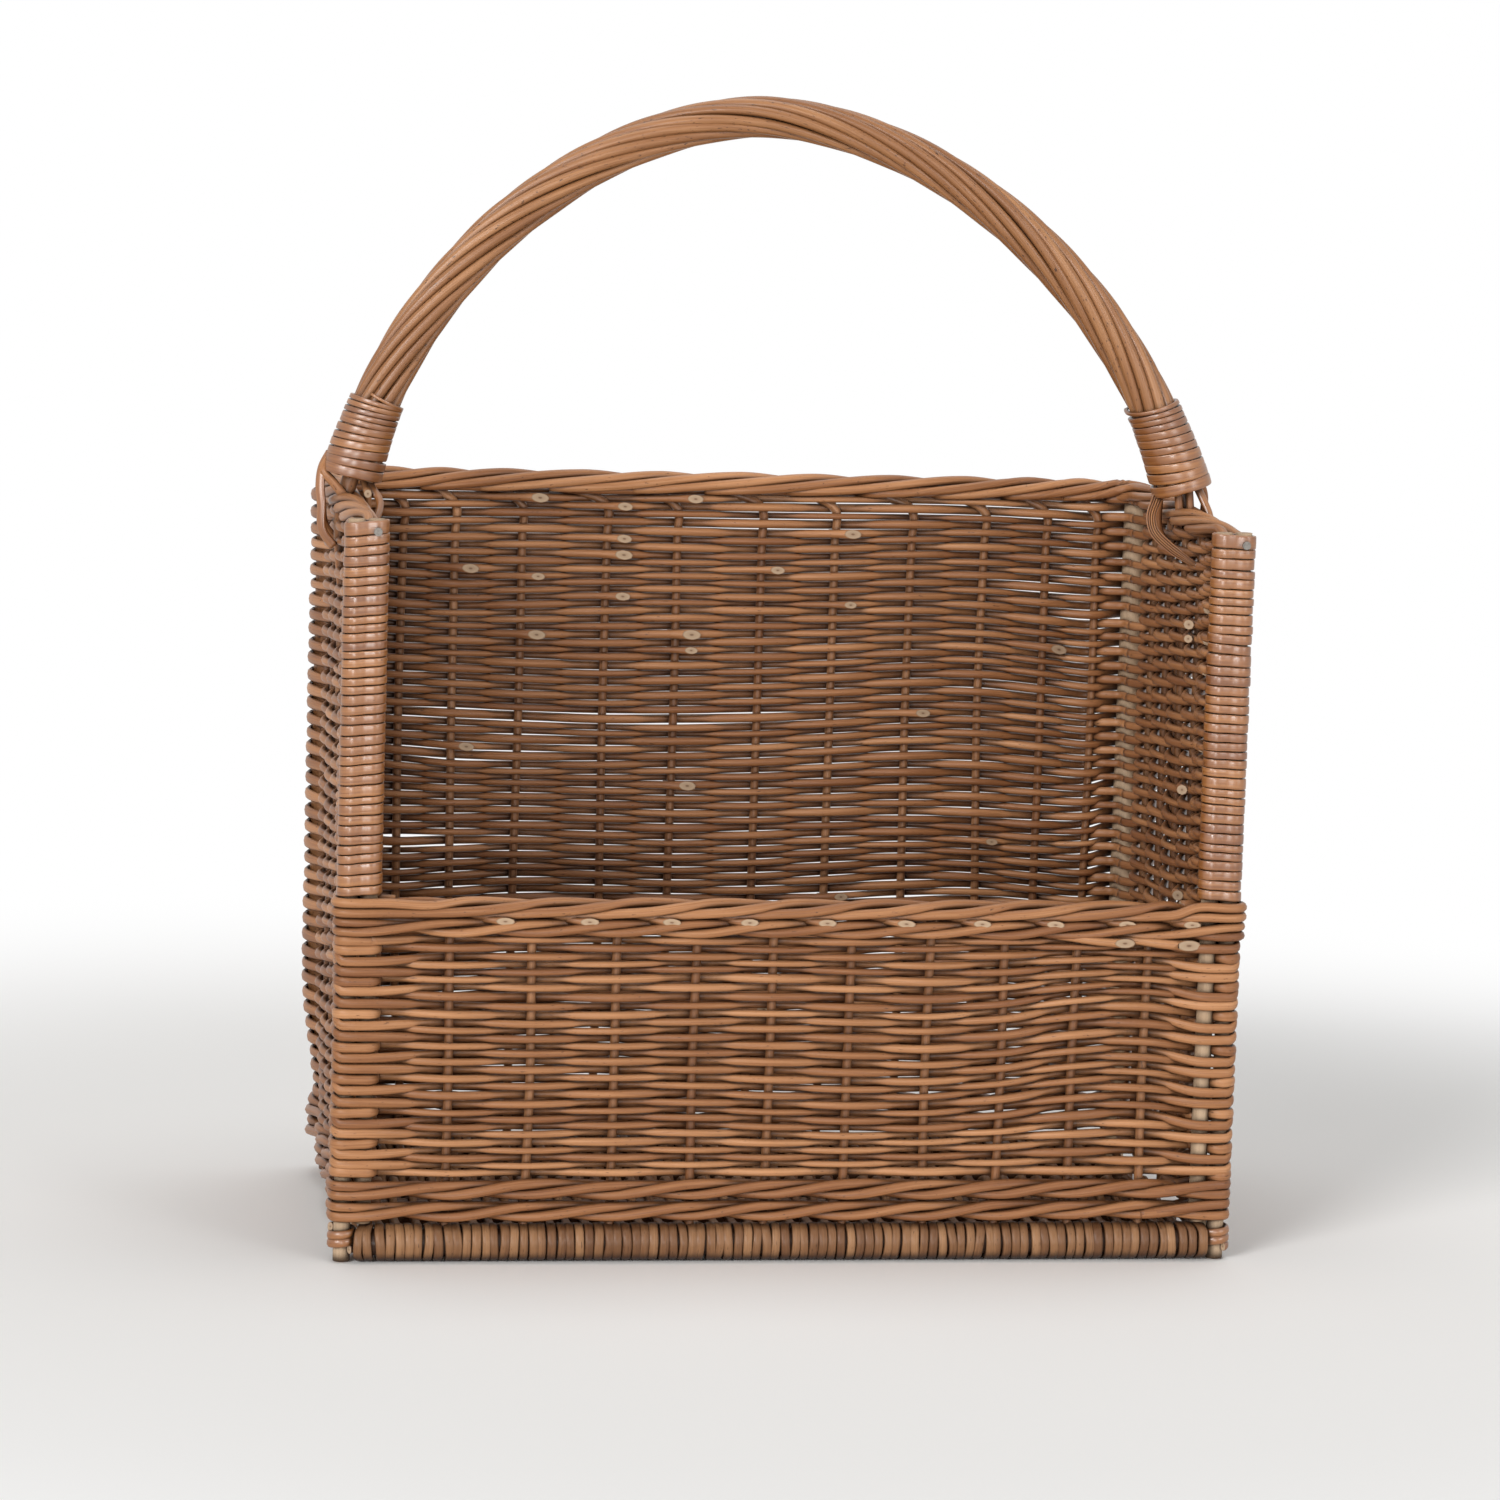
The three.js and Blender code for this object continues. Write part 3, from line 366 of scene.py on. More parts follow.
def wander(count, reach, smoothness, rng):
    # White noise averaged over a few neighbours and scaled back to the given reach
    noise = rng.normal(size=count + 2 * smoothness)
    window = np.hanning(2 * smoothness + 3)[1:-1]
    soft = np.convolve(noise, window / np.sqrt((window ** 2).sum()), mode="same")
    return reach * soft[smoothness:smoothness + count]


def rod(path, half, thick=None, up=(0, 0, 1), tint=0.5, start=0.0, square=2.0, cut=None):
    # half is the reach to the side, thick the reach along up, start the distance at which its streaks
    # begin. A cut is the way that a slanted end faces: the longer that vector, the more slanted.
    path = np.asarray(path, float)[:, :3]
    keep = np.ones(len(path), bool)
    keep[-2] = cut is None  # leaves room for the slant
    sizes = [np.broadcast_to(np.asarray(size, float), len(path))[keep] for size in
             (half, half if thick is None else thick)]
    upward = np.broadcast_to(np.asarray(up, float), (len(path), 3))[keep]
    return {"path": path[keep], "half": sizes[0], "thick": sizes[1], "up": upward, "tint": tint,
            "start": start, "square": square, "cut": cut}


def sectionRings(item, around):
    # Each ring: centre + side * half * cos(angle) + outward * thick * sin(angle). Sine and cosine are
    # raised to 2 / square, which fills the section out towards a rectangle.
    path = item["path"]
    tangent = unit(np.gradient(path, axis=0))
    side = unit(np.cross(tangent, item["up"]))
    outward = np.cross(side, tangent)
    angle = 2 * np.pi * np.arange(around) / around
    power = 2 / item["square"]
    c, s = (np.sign(wave) * np.abs(wave) ** power for wave in (np.cos(angle), np.sin(angle)))
    rings = (path[:, None, :] + side[:, None, :] * (item["half"][:, None] * c)[..., None]
             + outward[:, None, :] * (item["thick"][:, None] * s)[..., None])
    if item["cut"] is not None:  # points on the side that the cut faces are drawn back along the rod
        rings[-1] -= np.outer((rings[-1] - path[-1]) @ np.asarray(item["cut"], float), tangent[-1])
    return rings


def makeRods(name, rods, material, around):
    # All rods of a piece in one mesh: tubes of quads, each closed by two fans of triangles. The piece
    # stands for the node of its own name, with an underscore before each capital and each digit.
    points, quads, fans, quadUv, fanUv, tints = [], [], [], [], [], []
    offset = 0
    ring = np.arange(around)
    nextOne = (ring + 1) % around
    angle = 2 * np.pi * ring / around
    edge = np.column_stack([np.cos(angle), np.sin(angle)])
    for item in rods:
        rings = sectionRings(item, around)
        count = len(rings)
        steps = np.linalg.norm(np.diff(item["path"], axis=0), axis=1)
        along = (np.concatenate([[0], np.cumsum(steps)]) + item["start"]) * millimetre
        points.append(np.vstack([rings.reshape(-1, 3), item["path"][[0, -1]]]))
        i, j = np.meshgrid(np.arange(count - 1), ring, indexing="ij")
        corners = np.stack([i * around + j, (i + 1) * around + j, (i + 1) * around + nextOne[j],
                            i * around + nextOne[j]], -1)
        quads.append(offset + corners.reshape(-1, 4))
        share = np.stack([j, j, j + 1, j + 1], -1) / around
        quadUv.append(np.stack([along[np.stack([i, i + 1, i + 1, i], -1)], share], -1).reshape(-1, 2))
        # Each fan: its middle point, and the first point of its ring, which runs the way that faces out
        for middle, firstPoint, one, other in ((count * around, 0, ring, nextOne),
                                               (count * around + 1, (count - 1) * around, nextOne, ring)):
            fans.append(offset + np.column_stack([np.full(around, middle), firstPoint + one,
                                                  firstPoint + other]))
            fanUv.append(np.stack([np.zeros_like(edge), edge[one], edge[other]], 1).reshape(-1, 2))
        tints.append(np.full(count * around + 2, item["tint"]))
        offset += count * around + 2
    points, quads, fans = np.vstack(points) * millimetre, np.vstack(quads), np.vstack(fans)
    isFan = np.repeat([False, True], [len(quads), len(fans)])
    sides = np.where(isFan, 3, 4)
    loops = np.concatenate([quads.ravel(), fans.ravel()])
    mesh = bpy.data.meshes.new(name)
    mesh.vertices.add(len(points))
    mesh.vertices.foreach_set("co", points.ravel())
    mesh.loops.add(len(loops))
    mesh.loops.foreach_set("vertex_index", loops)
    mesh.polygons.add(len(isFan))
    mesh.polygons.foreach_set("loop_start", np.cumsum(sides) - sides)
    mesh.polygons.foreach_set("material_index", isFan.astype(int))
    mesh.update(calc_edges=True)
    mesh.uv_layers.new(name="rodMap")
    mesh.uv_layers["rodMap"].uv.foreach_set("vector", np.vstack(quadUv + fanUv).ravel())
    mesh.attributes.new("rodTint", "FLOAT", "POINT").data.foreach_set("value", np.concatenate(tints))
    mesh.attributes.new("sharp_face", "BOOLEAN", "FACE").data.foreach_set("value", isFan)
    mesh.materials.append(material)
    mesh.materials.append(willowCut)
    piece = newObject(name, mesh)
    nodeName = "".join(c if c.islower() else "_" + c.lower() for c in name)
    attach(piece, "root")
    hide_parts(nodeName)
    print(f"{name}: {len(rods)} rods, {2 * len(quads) + len(fans)} triangles")


# ---- plan of the basket, in millimetres

plan = {
    "sideX": 225.2, "frontY": -115.5, "backY": 115.5,
    "outerRodX": 230.35, "innerRodX": 220.05, "postRadius": 4.4, "backPostRadius": 6.9,
    "frontStakes": np.array([-178.1, -135.7, -91.6, -49.9, -10.0, 31.0, 72.7, 111.8, 150.4, 188.3]),
    "backStakes": np.array([-184.4, -156.1, -119.2, -72.1, -33.2, 14.2, 55.2, 98.5, 139.7, 174.3, 202.8]),
    "sideStakes": np.array([-81.0, -45.0, -9.0, 27.0, 63.0]),
    "stakeRadius": 2.4, "stakeFoot": 9.5, "sideStakeFoot": 20.0,
    "railTop": 20.0, "waleTop": 45.0, "topWaleBottom": 170.0, "frontBorderBottom": 180.0,
    "sideRimFront": 386.0, "backRim": 391.5, "rimHeight": 13.0,
    # The back left corner leans in by this at the foot, from the top of the lean down over its height,
    # and the lean fades out along the walls
    "lean": 8.5, "leanTop": 115.0, "leanHeight": 75.0, "leanReach": 90.0,
}
sideX, frontY, backY, outerRodX = (plan[key] for key in ("sideX", "frontY", "backY", "outerRodX"))
rodsApart = outerRodX - plan["innerRodX"]   # the two rods of a front post
bothSides = (("Left", -1), ("Right", 1))
# Place and outward normal of each wall's stakes, counterclockwise seen from above
wallStakes = {
    "left": [((-sideX, y), (-1, 0)) for y in plan["sideStakes"][::-1]],
    "front": [((x, frontY), (0, -1)) for x in plan["frontStakes"]],
    "right": [((sideX, y), (1, 0)) for y in plan["sideStakes"]],
    "back": [((x, backY), (0, 1)) for x in plan["backStakes"][::-1]],
}


def sideRimTop(y):
    # The side rims rise evenly from the front posts to the back
    share = (y - frontY) / (backY - frontY)
    return plan["sideRimFront"] + (plan["backRim"] - plan["sideRimFront"]) * share


def drawIn(path):
    # The lean of the back left corner: an eased step by the height, times what is left of the reach
    low = np.clip((plan["leanTop"] - path[:, 2]) / plan["leanHeight"], 0, 1)
    fromCorner = np.hypot(path[:, 0] + sideX, path[:, 1] - backY)
    moved = path.copy()
    moved[:, 0] += plan["lean"] * ease(low) * np.clip(1 - fromCorner / plan["leanReach"], 0, 1)
    return moved


def straight(start, end):
    return np.linspace(start, end, 60)


def fillSpan(low, high, sizes):
    # Sizes one after the other, scaled so that they fill the span: the middle and the size of each
    edges = np.concatenate([np.zeros_like(sizes[:1]), np.cumsum(sizes, axis=0)])
    edges = low + (high - low) * edges / edges[-1]
    return (edges[1:] + edges[:-1]) / 2, np.diff(edges, axis=0)


def rowHeights(rows, columns, low, high, unevenness, rng, slant=0.0):
    # Row thicknesses vary by a smooth noise, and each column of them is scaled to fill its height.
    # slant opens the lower rows of a column and closes its upper ones.
    noise = np.array([wander(columns, unevenness, 2, rng) for _ in range(rows)])
    return fillSpan(low, high, np.exp(noise) * (1 + np.linspace(1, -1, rows)[:, None] * slant))


# ---- base: sticks, and weavers over and under them that turn round the two rails

baseLook = {
    "railRadius": 7.0, "frontEnd": 220.5, "backEnd": 218.4,
    "stickRadius": 4.0, "stickEnd": 221.0, "stickShift": 18.0,   # how far they lie behind the side stakes
    "rows": 91, "end": 222.6, "margin": 2.4, "unevenness": 0.25, "kink": 0.35, "seed": 3,
    "bandHalf": 2.43, "bandThick": 1.4, "bandSquare": 3.4,   # where a weaver is pressed flat round a rail
    "bandReach": 8.0, "bandFade": 14.0,                      # from the rail's middle line, and then to round
    "turnAngles": [-60, -100, -140, -180, -220, -265, -300],
    "rodHalf": 2.1, "pressed": 0.4,                          # and where it crosses the sticks
    "footSpread": 2.8, "footReach": 18.0,                    # the last turns spread out to the post feet
}


def makeBase(look):
    rng = np.random.default_rng(look["seed"])
    mid = plan["railTop"] / 2
    stickY = plan["sideStakes"] + look["stickShift"]
    # The sticks are willow, but they take the dark brown of the flattened turns and the rails its darkest
    # tint, so the gaps between the turns read dark: painted shade there
    rail, stick = (look["railRadius"], 0.0, 20), (look["stickRadius"], 0.2, 14)
    sticks = [("baseFrontStick", frontY, look["frontEnd"], rail),
              ("baseBackStick", backY, look["backEnd"], rail)]
    sticks += [(f"baseInnerStick{number + 1}", y, look["stickEnd"], stick) for number, y in enumerate(stickY)]
    for name, y, end, (radius, tint, around) in sticks:
        line = straight([-end, y, mid], [end, y, mid])
        makeRods(name, [rod(line, radius, tint=tint)], willowRail, around)

    # Each weaver: round the front rail from below, over and under the sticks by turns, round the back rail
    angles = np.radians(look["turnAngles"])
    turn = (mid - look["bandThick"]) * np.column_stack([np.cos(angles), np.sin(angles)])
    ys = np.concatenate([frontY + turn[:, 0], stickY, backY - turn[::-1, 0]])
    ahead = np.clip((frontY - ys) / 6, 0, 1)  # only in front of the rail do turns spread out to the feet
    reach = look["end"] - look["margin"]
    places = np.linspace(-reach, reach, look["rows"]) + rng.normal(0, look["unevenness"], look["rows"])
    rods = []
    for row, x in enumerate(places):
        side = np.where((np.arange(len(stickY)) + row) % 2 == 0, 1, -1)
        lift = side * (look["stickRadius"] + look["rodHalf"] - look["pressed"])
        zs = mid + np.concatenate([turn[:, 1], lift, turn[::-1, 1]])
        xs = x + wander(len(ys), look["kink"], 1, rng)
        nearFoot = np.clip(1 - (look["end"] - abs(x)) / look["footReach"], 0, 1)
        xs += np.sign(x) * look["footSpread"] * nearFoot * ahead
        path = smoothPath(np.column_stack([xs, ys, zs]), 3.2)
        fromRail = np.minimum(np.abs(path[:, 1] - frontY), np.abs(path[:, 1] - backY))
        away = np.clip((fromRail - look["bandReach"]) / look["bandFade"], 0, 1)
        half = look["bandHalf"] * rng.uniform(0.91, 1.07) * (1 - away) + look["rodHalf"] * away
        thick = look["bandThick"] * (1 - away) + look["rodHalf"] * away
        rods.append(rod(path, thick, half, up=(1, 0, 0), tint=rng.random(), start=900 * rng.random(),
                        square=look["bandSquare"]))
    makeRods("baseWeave", rods, willowRail, 10)


makeBase(baseLook)

# ---- flat turns round the front posts

turnsLook = {
    "turns": 38, "perTurn": 40, "bottom": 191.2, "top": 383.3, "unevenness": 0.13, "topTurn": 1.45,
    "thick": 1.05, "gap": 0.42, "square": 5.5, "bulge": 0.14, "seed": 11,
    "waist": 0.65,                           # how far the turns sink in between the two rods
    "slope": {"Left": 1.05, "Right": 0.6},   # rise over 12 mm, to the right on the left post and back again
    "slopeSpread": 0.3,
    "footTurns": 2.625, "footPerTurn": 32, "footBottom": 4.6, "footPitch": 0.82,   # pitch as a share of width
    "footWidth": 5.0, "footThick": 1.5, "footGap": 0.3, "footSquare": 2.3, "footTint": 0.45,
}


def stadium(x, share, apart, radius):
    # Once round two rods, by the share of the turn: half circles joined by straight runs. Each point is
    # a middle, which moves along the runs, and the radius the way that it faces.
    half = apart / 2
    marks = np.cumsum([0, apart, math.pi * radius, apart, math.pi * radius])
    middle = np.interp(share, marks / marks[-1], [-half, half, half, -half, -half])
    facing = np.interp(share, marks / marks[-1], np.radians([-90, -90, 90, 90, 270]))
    return x + middle + radius * np.cos(facing), frontY + radius * np.sin(facing)


def turnLevel(turned, turns):
    # Turns are counted from the middle of the back. Each stays level round the front and climbs to the
    # next one behind, in four tenths of a turn.
    climb = np.clip(((turned + 0.5) % 1 - 0.3) / 0.4, 0, 1)
    return np.clip(np.floor(turned + 0.5) - 1 + ease(climb), 0, turns - 1)


def makePostTurns(look):
    rng = np.random.default_rng(look["seed"])
    turns, perTurn = look["turns"], look["perTurn"]
    for side, sign in bothSides:
        heights = np.exp(rng.normal(0, look["unevenness"], turns))
        heights[-1] = look["topTurn"]
        centres, widths = fillSpan(look["bottom"], look["top"], heights)
        turned = np.arange(turns * perTurn + 1) / perTurn
        xs, ys = stadium(sign * sideX, (turned + 0.6) % 1, rodsApart, plan["postRadius"] + look["thick"])
        level = turnLevel(turned, turns)
        width = np.interp(level, np.arange(turns), widths)
        tilt = np.interp(turned, np.arange(turns + 1),
                         rng.normal(look["slope"][side], look["slopeSpread"], turns + 1))
        across, ahead = xs - sign * sideX, ys - frontY
        zs = np.interp(level, np.arange(turns), centres) - sign * tilt * across / 12
        # The way each point faces, from the line between the rods' middles
        normal = np.column_stack([across - np.clip(across, -rodsApart / 2, rodsApart / 2), ahead,
                                  np.zeros_like(xs)])
        path = np.column_stack([xs, ys, zs])
        path += unit(normal) * wander(len(turned), look["bulge"], 8, rng)[:, None]
        # Between the two rods the turns sink in a little: half a cosine wave, deepest in the middle
        sink = 0.5 + 0.5 * np.cos(np.pi * np.clip(across / (rodsApart / 2), -1, 1))
        path[:, 1] -= np.sign(ahead) * look["waist"] * sink
        rods = []
        first = 0
        while first < turns:  # a few lengths of skein, each with its own tone
            last = min(turns, first + int(rng.integers(1, 5)))
            part = slice(first * perTurn, last * perTurn + 1)
            rods.append(rod(path[part], (width[part] - look["gap"]) / 2, look["thick"], up=normal[part],
                            tint=rng.random(), start=700 * rng.random(), square=look["square"]))
            first = last
        makeRods(f"frontPostTurns{side}", rods, willowSkein, 16)

        # The foot binding climbs evenly round the outer rod
        steps = np.arange(int(look["footTurns"] * look["footPerTurn"])) / look["footPerTurn"]
        radius = plan["postRadius"] + 0.2 + look["footThick"]
        angle = 2 * math.pi * (steps - 0.15)
        normal = np.column_stack([np.cos(angle), np.sin(angle), np.zeros_like(angle)])
        path = [sign * outerRodX, frontY, look["footBottom"]] + radius * normal
        path[:, 2] += look["footWidth"] * (0.5 + steps * look["footPitch"])
        band = rod(path, (look["footWidth"] - look["footGap"]) / 2, look["footThick"], up=normal,
                   tint=look["footTint"], square=look["footSquare"])
        makeRods(f"postFootBinding{side}", [band], willowSkein, 10)


makePostTurns(turnsLook)

# ---- corner posts

postLook = {"foot": 0.5, "top": 383.9, "innerBottom": 20.3, "backTop": 378.2,
            "outerTint": 0.5, "innerTint": 0.3, "backTint": 0.35}


def makePosts(look):
    for side, sign in bothSides:
        frontRadius, innerX = plan["postRadius"], plan["innerRodX"]
        for name, x, y, bottom, top, radius, tint, material in (
                (f"frontPost{side}Outer", outerRodX, frontY, look["foot"], look["top"], frontRadius,
                 look["outerTint"], willowPeeled),
                (f"frontPost{side}Inner", innerX, frontY, look["innerBottom"], look["top"], frontRadius,
                 look["innerTint"], willowPeeled),
                (f"backPost{side}", sideX, backY, look["foot"], look["backTop"], plan["backPostRadius"],
                 look["backTint"], willowPeeled if side == "Right" else willowHandle)):
            line = drawIn(straight([sign * x, y, bottom], [sign * x, y, top]))
            makeRods(name, [rod(line, radius, up=(0, 1, 0), tint=tint)], material, 20)


makePosts(postLook)

# ---- wales: three rods that pass outside two stakes and inside the third, each over the last

waleLook = {
    "seed": 21, "spread": 5.1,
    "levels": [1.0, 0.5, 1.5],   # inside a stake, and outside the first and the second
    "rounds": 2, "start": 21.4, "lineHeight": 5.55, "radius": 2.7, "unevenness": 0.25,
    "darkest": 0.38,   # the wale rods take their tints from the dark end of the range only, up to this
    "postBand": 1.5,   # half the thickness of a rod pressed round a post
    "tuck": (22.0, 6.0),
    "topStart": 170.2, "topLineHeight": 4.9, "topRadius": 2.45,
    # The two thick ends that come out under the top wale at its right: place, height and radius
    "ends": [(172.6, 169.3, 2.5), (206.8, 168.2, 2.9)],
}


def frontPostArc(sign, radius, fromAngle, toAngle, count):
    # Points on a circle about the outer rod of a front post, angles from the +X axis
    angle = np.radians(np.linspace(fromAngle, toAngle, count))
    return np.column_stack([sign * outerRodX + radius * np.cos(angle), frontY + radius * np.sin(angle)])


# How a rod passes a corner post on the inside, as distances from the middle of the basket in front, and
# at the back from the post: where it crosses the diagonal, as a share, and how it comes to that point
cornerLook = {"insideFront": [(214.0, -104.5), (208.0, -110.4)], "insideShare": 0.72, "leadIn": 15.0,
              "leadOff": 1.5}


def cornerControls(kind, outside, reach):
    # Plan points that lead a rod round a corner post counterclockwise, outside or inside of it
    sign = -1 if kind.endswith("Left") else 1
    if kind.startswith("front"):
        if outside:
            return frontPostArc(sign, plan["postRadius"] + reach, 225 + 45 * sign, 315 + 45 * sign, 4)
        return (np.array(cornerLook["insideFront"]) * [sign, 1])[::-sign]
    radius = plan["backPostRadius"] + reach
    if outside:
        angle = np.radians([0, 45, 90])
        ring = np.column_stack([sideX + radius * np.cos(angle), backY + radius * np.sin(angle)])
    else:
        d = radius * cornerLook["insideShare"]
        lead = [d - cornerLook["leadOff"], cornerLook["leadIn"]]
        ring = [sideX, backY] - np.array([lead, [d, d], lead[::-1]])
    return (ring * [sign, 1])[::sign]


def makeBottomWale(look):
    rng = np.random.default_rng(look["seed"])
    # Counterclockwise from the back left corner; each corner counts with the wall that it begins
    stations = []
    for wall, corner in (("left", "backLeft"), ("front", "frontLeft"), ("right", "frontRight"),
                         ("back", "backRight")):
        stations.append((corner, wall, None, None))
        stations += [("stake", wall, *stake) for stake in wallStakes[wall]]
    stations.append(stations[0])
    parts = {wall: [] for wall in wallStakes}
    for strand in range(3 * look["rounds"]):
        controls, walls = [], []
        for number, (kind, wall, place, normal) in enumerate(stations):
            phase = (number + strand) % 3
            z = look["start"] + look["lineHeight"] * (2 * (strand // 3) + look["levels"][phase])
            z += rng.normal(0, look["unevenness"])
            if kind == "stake":
                pressed = 0.0
                points = [np.add(place, np.multiply(normal, look["spread"] * (1 if phase else -1)))]
            else:
                pressed = float(kind.startswith("front") and phase > 0)
                half = look["postBand"] if pressed else look["radius"]
                points = cornerControls(kind, phase > 0, half + 0.1)
            controls += [[*point, z, pressed] for point in points]
            walls += [wall] * len(points)
        # Both ends of the ring are tucked inside, next to the back left post
        far, close = look["tuck"]
        controls = np.array([[-sideX + far, backY - close, controls[0][2], 0.0], *controls,
                             [-sideX + close, backY - far, controls[-1][2], 0.0]])
        walls = np.array(["left", *walls, "left"])
        tint = look["darkest"] * rng.random()
        for wall, rods in parts.items():
            index = np.where(walls == wall)[0]
            # The left wall holds both ends of the ring of stations
            for run in np.split(index, np.where(np.diff(index) > 1)[0] + 1):
                path = drawIn(smoothPath(controls[max(run[0] - 1, 0):run[-1] + 2], 4.0))
                pressed = np.clip(path[:, 3], 0, 1)
                size = 1 + wander(len(path), 0.03, 6, rng)
                half = (look["radius"] * (1 - pressed) + look["postBand"] * pressed) * size
                rods.append(rod(path, half, look["radius"] * size, tint=tint, start=500 * rng.random()))
    for wall, rods in parts.items():
        makeRods(f"{wall}BottomWale", rods, willowWeave, 8)


makeBottomWale(waleLook)

# ---- the low front: rows of plain weave that turn round the outer rods of the posts

frontLook = {
    "rows": 30, "unevenness": 0.12, "seed": 31, "slant": [0.06, 0.2, 0.22, 0.08],   # of the last columns
    "amplitude": 4.25, "sag": 0.1,   # a rod passes its stakes a little higher outside than inside
    "fill": 0.95, "thinnest": 1.75, "thickest": 2.4,
    "grouping": 1.38, "bandThick": 1.45, "bandHalf": 2.66, "backHalf": 2.2,   # rods pressed flat round a post
    "postEndX": 219.0,                     # where they lie against the inner rod
    "shortTurn": (0.58, 1.64),             # the short turns between them begin and end behind the post
    "shortSquare": 2.3, "shortRise": 0.8, "shortWave": 0.35,
}


def makeFrontWeave(look):
    rng = np.random.default_rng(look["seed"])
    stakes, lastRow = plan["frontStakes"], look["rows"] - 1
    slant = np.zeros(len(stakes) + 2)
    slant[-4:] = look["slant"]
    heights, pitches = rowHeights(look["rows"], len(slant), plan["waleTop"] - 0.6,
                                  plan["topWaleBottom"] + 0.4, look["unevenness"], rng, slant)
    ring = plan["postRadius"] + look["bandThick"] + 0.05

    def postEnd(sign, row, inFront):
        # From the outermost point of the turn to the front or the back of the inner rod: each control
        # with its half sizes. Rods in front of the post stand in twos, and turn into the row above.
        column = 0 if sign < 0 else -1
        mate = row + 1 if inFront else row - 1
        group = look["grouping"] * (1 if row // 2 % 2 == 0 else -1) if inFront and row < lastRow else 0.0
        z = heights[row, column] + group
        side = -1 if inFront else 1
        sizes = [look["bandThick"], look["bandHalf"] if inFront else look["backHalf"]]
        points = []
        if 0 <= mate <= lastRow:
            turnZ = (heights[row, column] + heights[mate, column]) / 2 + group * 0.5
            for degrees, height in ((0, turnZ), (30, turnZ * 0.6 + z * 0.4), (60, z), (90, z)):
                a = math.radians(degrees)
                points.append([sign * (outerRodX + ring * math.cos(a)), frontY + side * ring * math.sin(a),
                               height, *sizes])
        return points + [[sign * look["postEndX"], frontY + side * (ring + 0.1), z, *sizes]]

    rods = []
    for row in range(look["rows"]):
        odd = row % 2 == 1
        outward = np.where((np.arange(len(stakes)) + row) % 2 == 0, 1, -1) * look["amplitude"]
        radius = np.clip(pitches[row, 1:-1] * look["fill"] / 2, look["thinnest"], look["thickest"])
        radius = radius * rng.uniform(0.93, 1.05)
        middle = np.column_stack([stakes, frontY - outward, heights[row, 1:-1] + outward * look["sag"],
                                  radius, radius])
        path = smoothPath(np.vstack([postEnd(-1, row, odd), middle, postEnd(1, row, not odd)[::-1]]), 3.6)
        rods.append(rod(path, np.clip(path[:, 3], 1.3, 2.6), path[:, 4], tint=rng.random(),
                        start=900 * rng.random()))
    # A short turn between every two of those pairs, round both rods of the left post and round the
    # outer one of the right post
    for column, firstRow, lowest, extra, middle, apart in (
            (0, 3, plan["waleTop"] + 2.6, [plan["topWaleBottom"] - 2.3], -sideX, rodsApart),
            (-1, 2, plan["waleTop"] + 0.4, [], outerRodX, 0.01)):
        between = [(heights[row, column] + heights[min(row + 2, lastRow), column]) / 2
                   for row in range(firstRow, look["rows"], 4)]
        for z in [lowest] + between + extra:
            turned = np.linspace(*look["shortTurn"], 44)
            xs, ys = stadium(middle, turned % 1, apart, ring)
            wave = look["shortWave"] * np.sin(2 * np.pi * turned + rng.uniform(0, 6))
            zs = z + wave + look["shortRise"] * (turned - 1.1)
            rods.append(rod(np.column_stack([xs, ys, zs]), look["bandThick"] + 0.1, look["bandHalf"] + 0.05,
                            tint=rng.random(), start=300 * rng.random(), square=look["shortSquare"]))
    makeRods("frontWeave", rods, willowWeave, 10)


makeFrontWeave(frontLook)


def makeTopWale(look):
    rng = np.random.default_rng(look["seed"] + 1)
    stakes = plan["frontStakes"]
    ring = plan["postRadius"] + look["topRadius"] - 0.3
    rods = []
    for strand in range(3):
        phases = (np.arange(len(stakes) + 2) + strand) % 3
        levels = look["topStart"] + look["topLineHeight"] * np.array(look["levels"])[phases]
        # At each post a rod goes round the outer rod or ends inside
        left = np.array([[-206, frontY + ring]])
        right = left * [-1, 1]
        if phases[0]:
            left = np.vstack([[[-214, frontY + ring]], frontPostArc(-1, ring - 0.7, 90, 270, 6)])
        if phases[-1]:
            right = np.vstack([frontPostArc(1, ring + 0.3, -90, 90, 6), [[214, frontY + ring]]])
        middle = [[x, frontY + (-1 if phase else 1) * look["spread"], z + rng.normal(0, 0.2)]
                  for x, phase, z in zip(stakes, phases[1:-1], levels[1:-1])]
        controls = [[*p, levels[0]] for p in left] + middle + [[*p, levels[-1]] for p in right]
        rods.append(rod(smoothPath(controls, 3.6), look["topRadius"], tint=rng.random(), start=400 * strand))
    for x, z, radius in look["ends"]:
        path = smoothPath([[x - 44, frontY + 2.5, z + 3.2], [x - 28, frontY - 3.6, z + 2.2],
                           [x - 13, frontY - 7.0, z + 0.8], [x + 1.5, frontY - 8.2, z - 0.2]], 3.4)
        rods.append(rod(path, np.linspace(1.9, radius, len(path)), tint=0.7, cut=(0.25, -2.4, 0)))
    makeRods("frontTopWale", rods, willowWeave, 10)


makeTopWale(waleLook)

# ---- borders: each stake bends over to the right, rises along the outside past two stakes,
# goes over the top and down inside

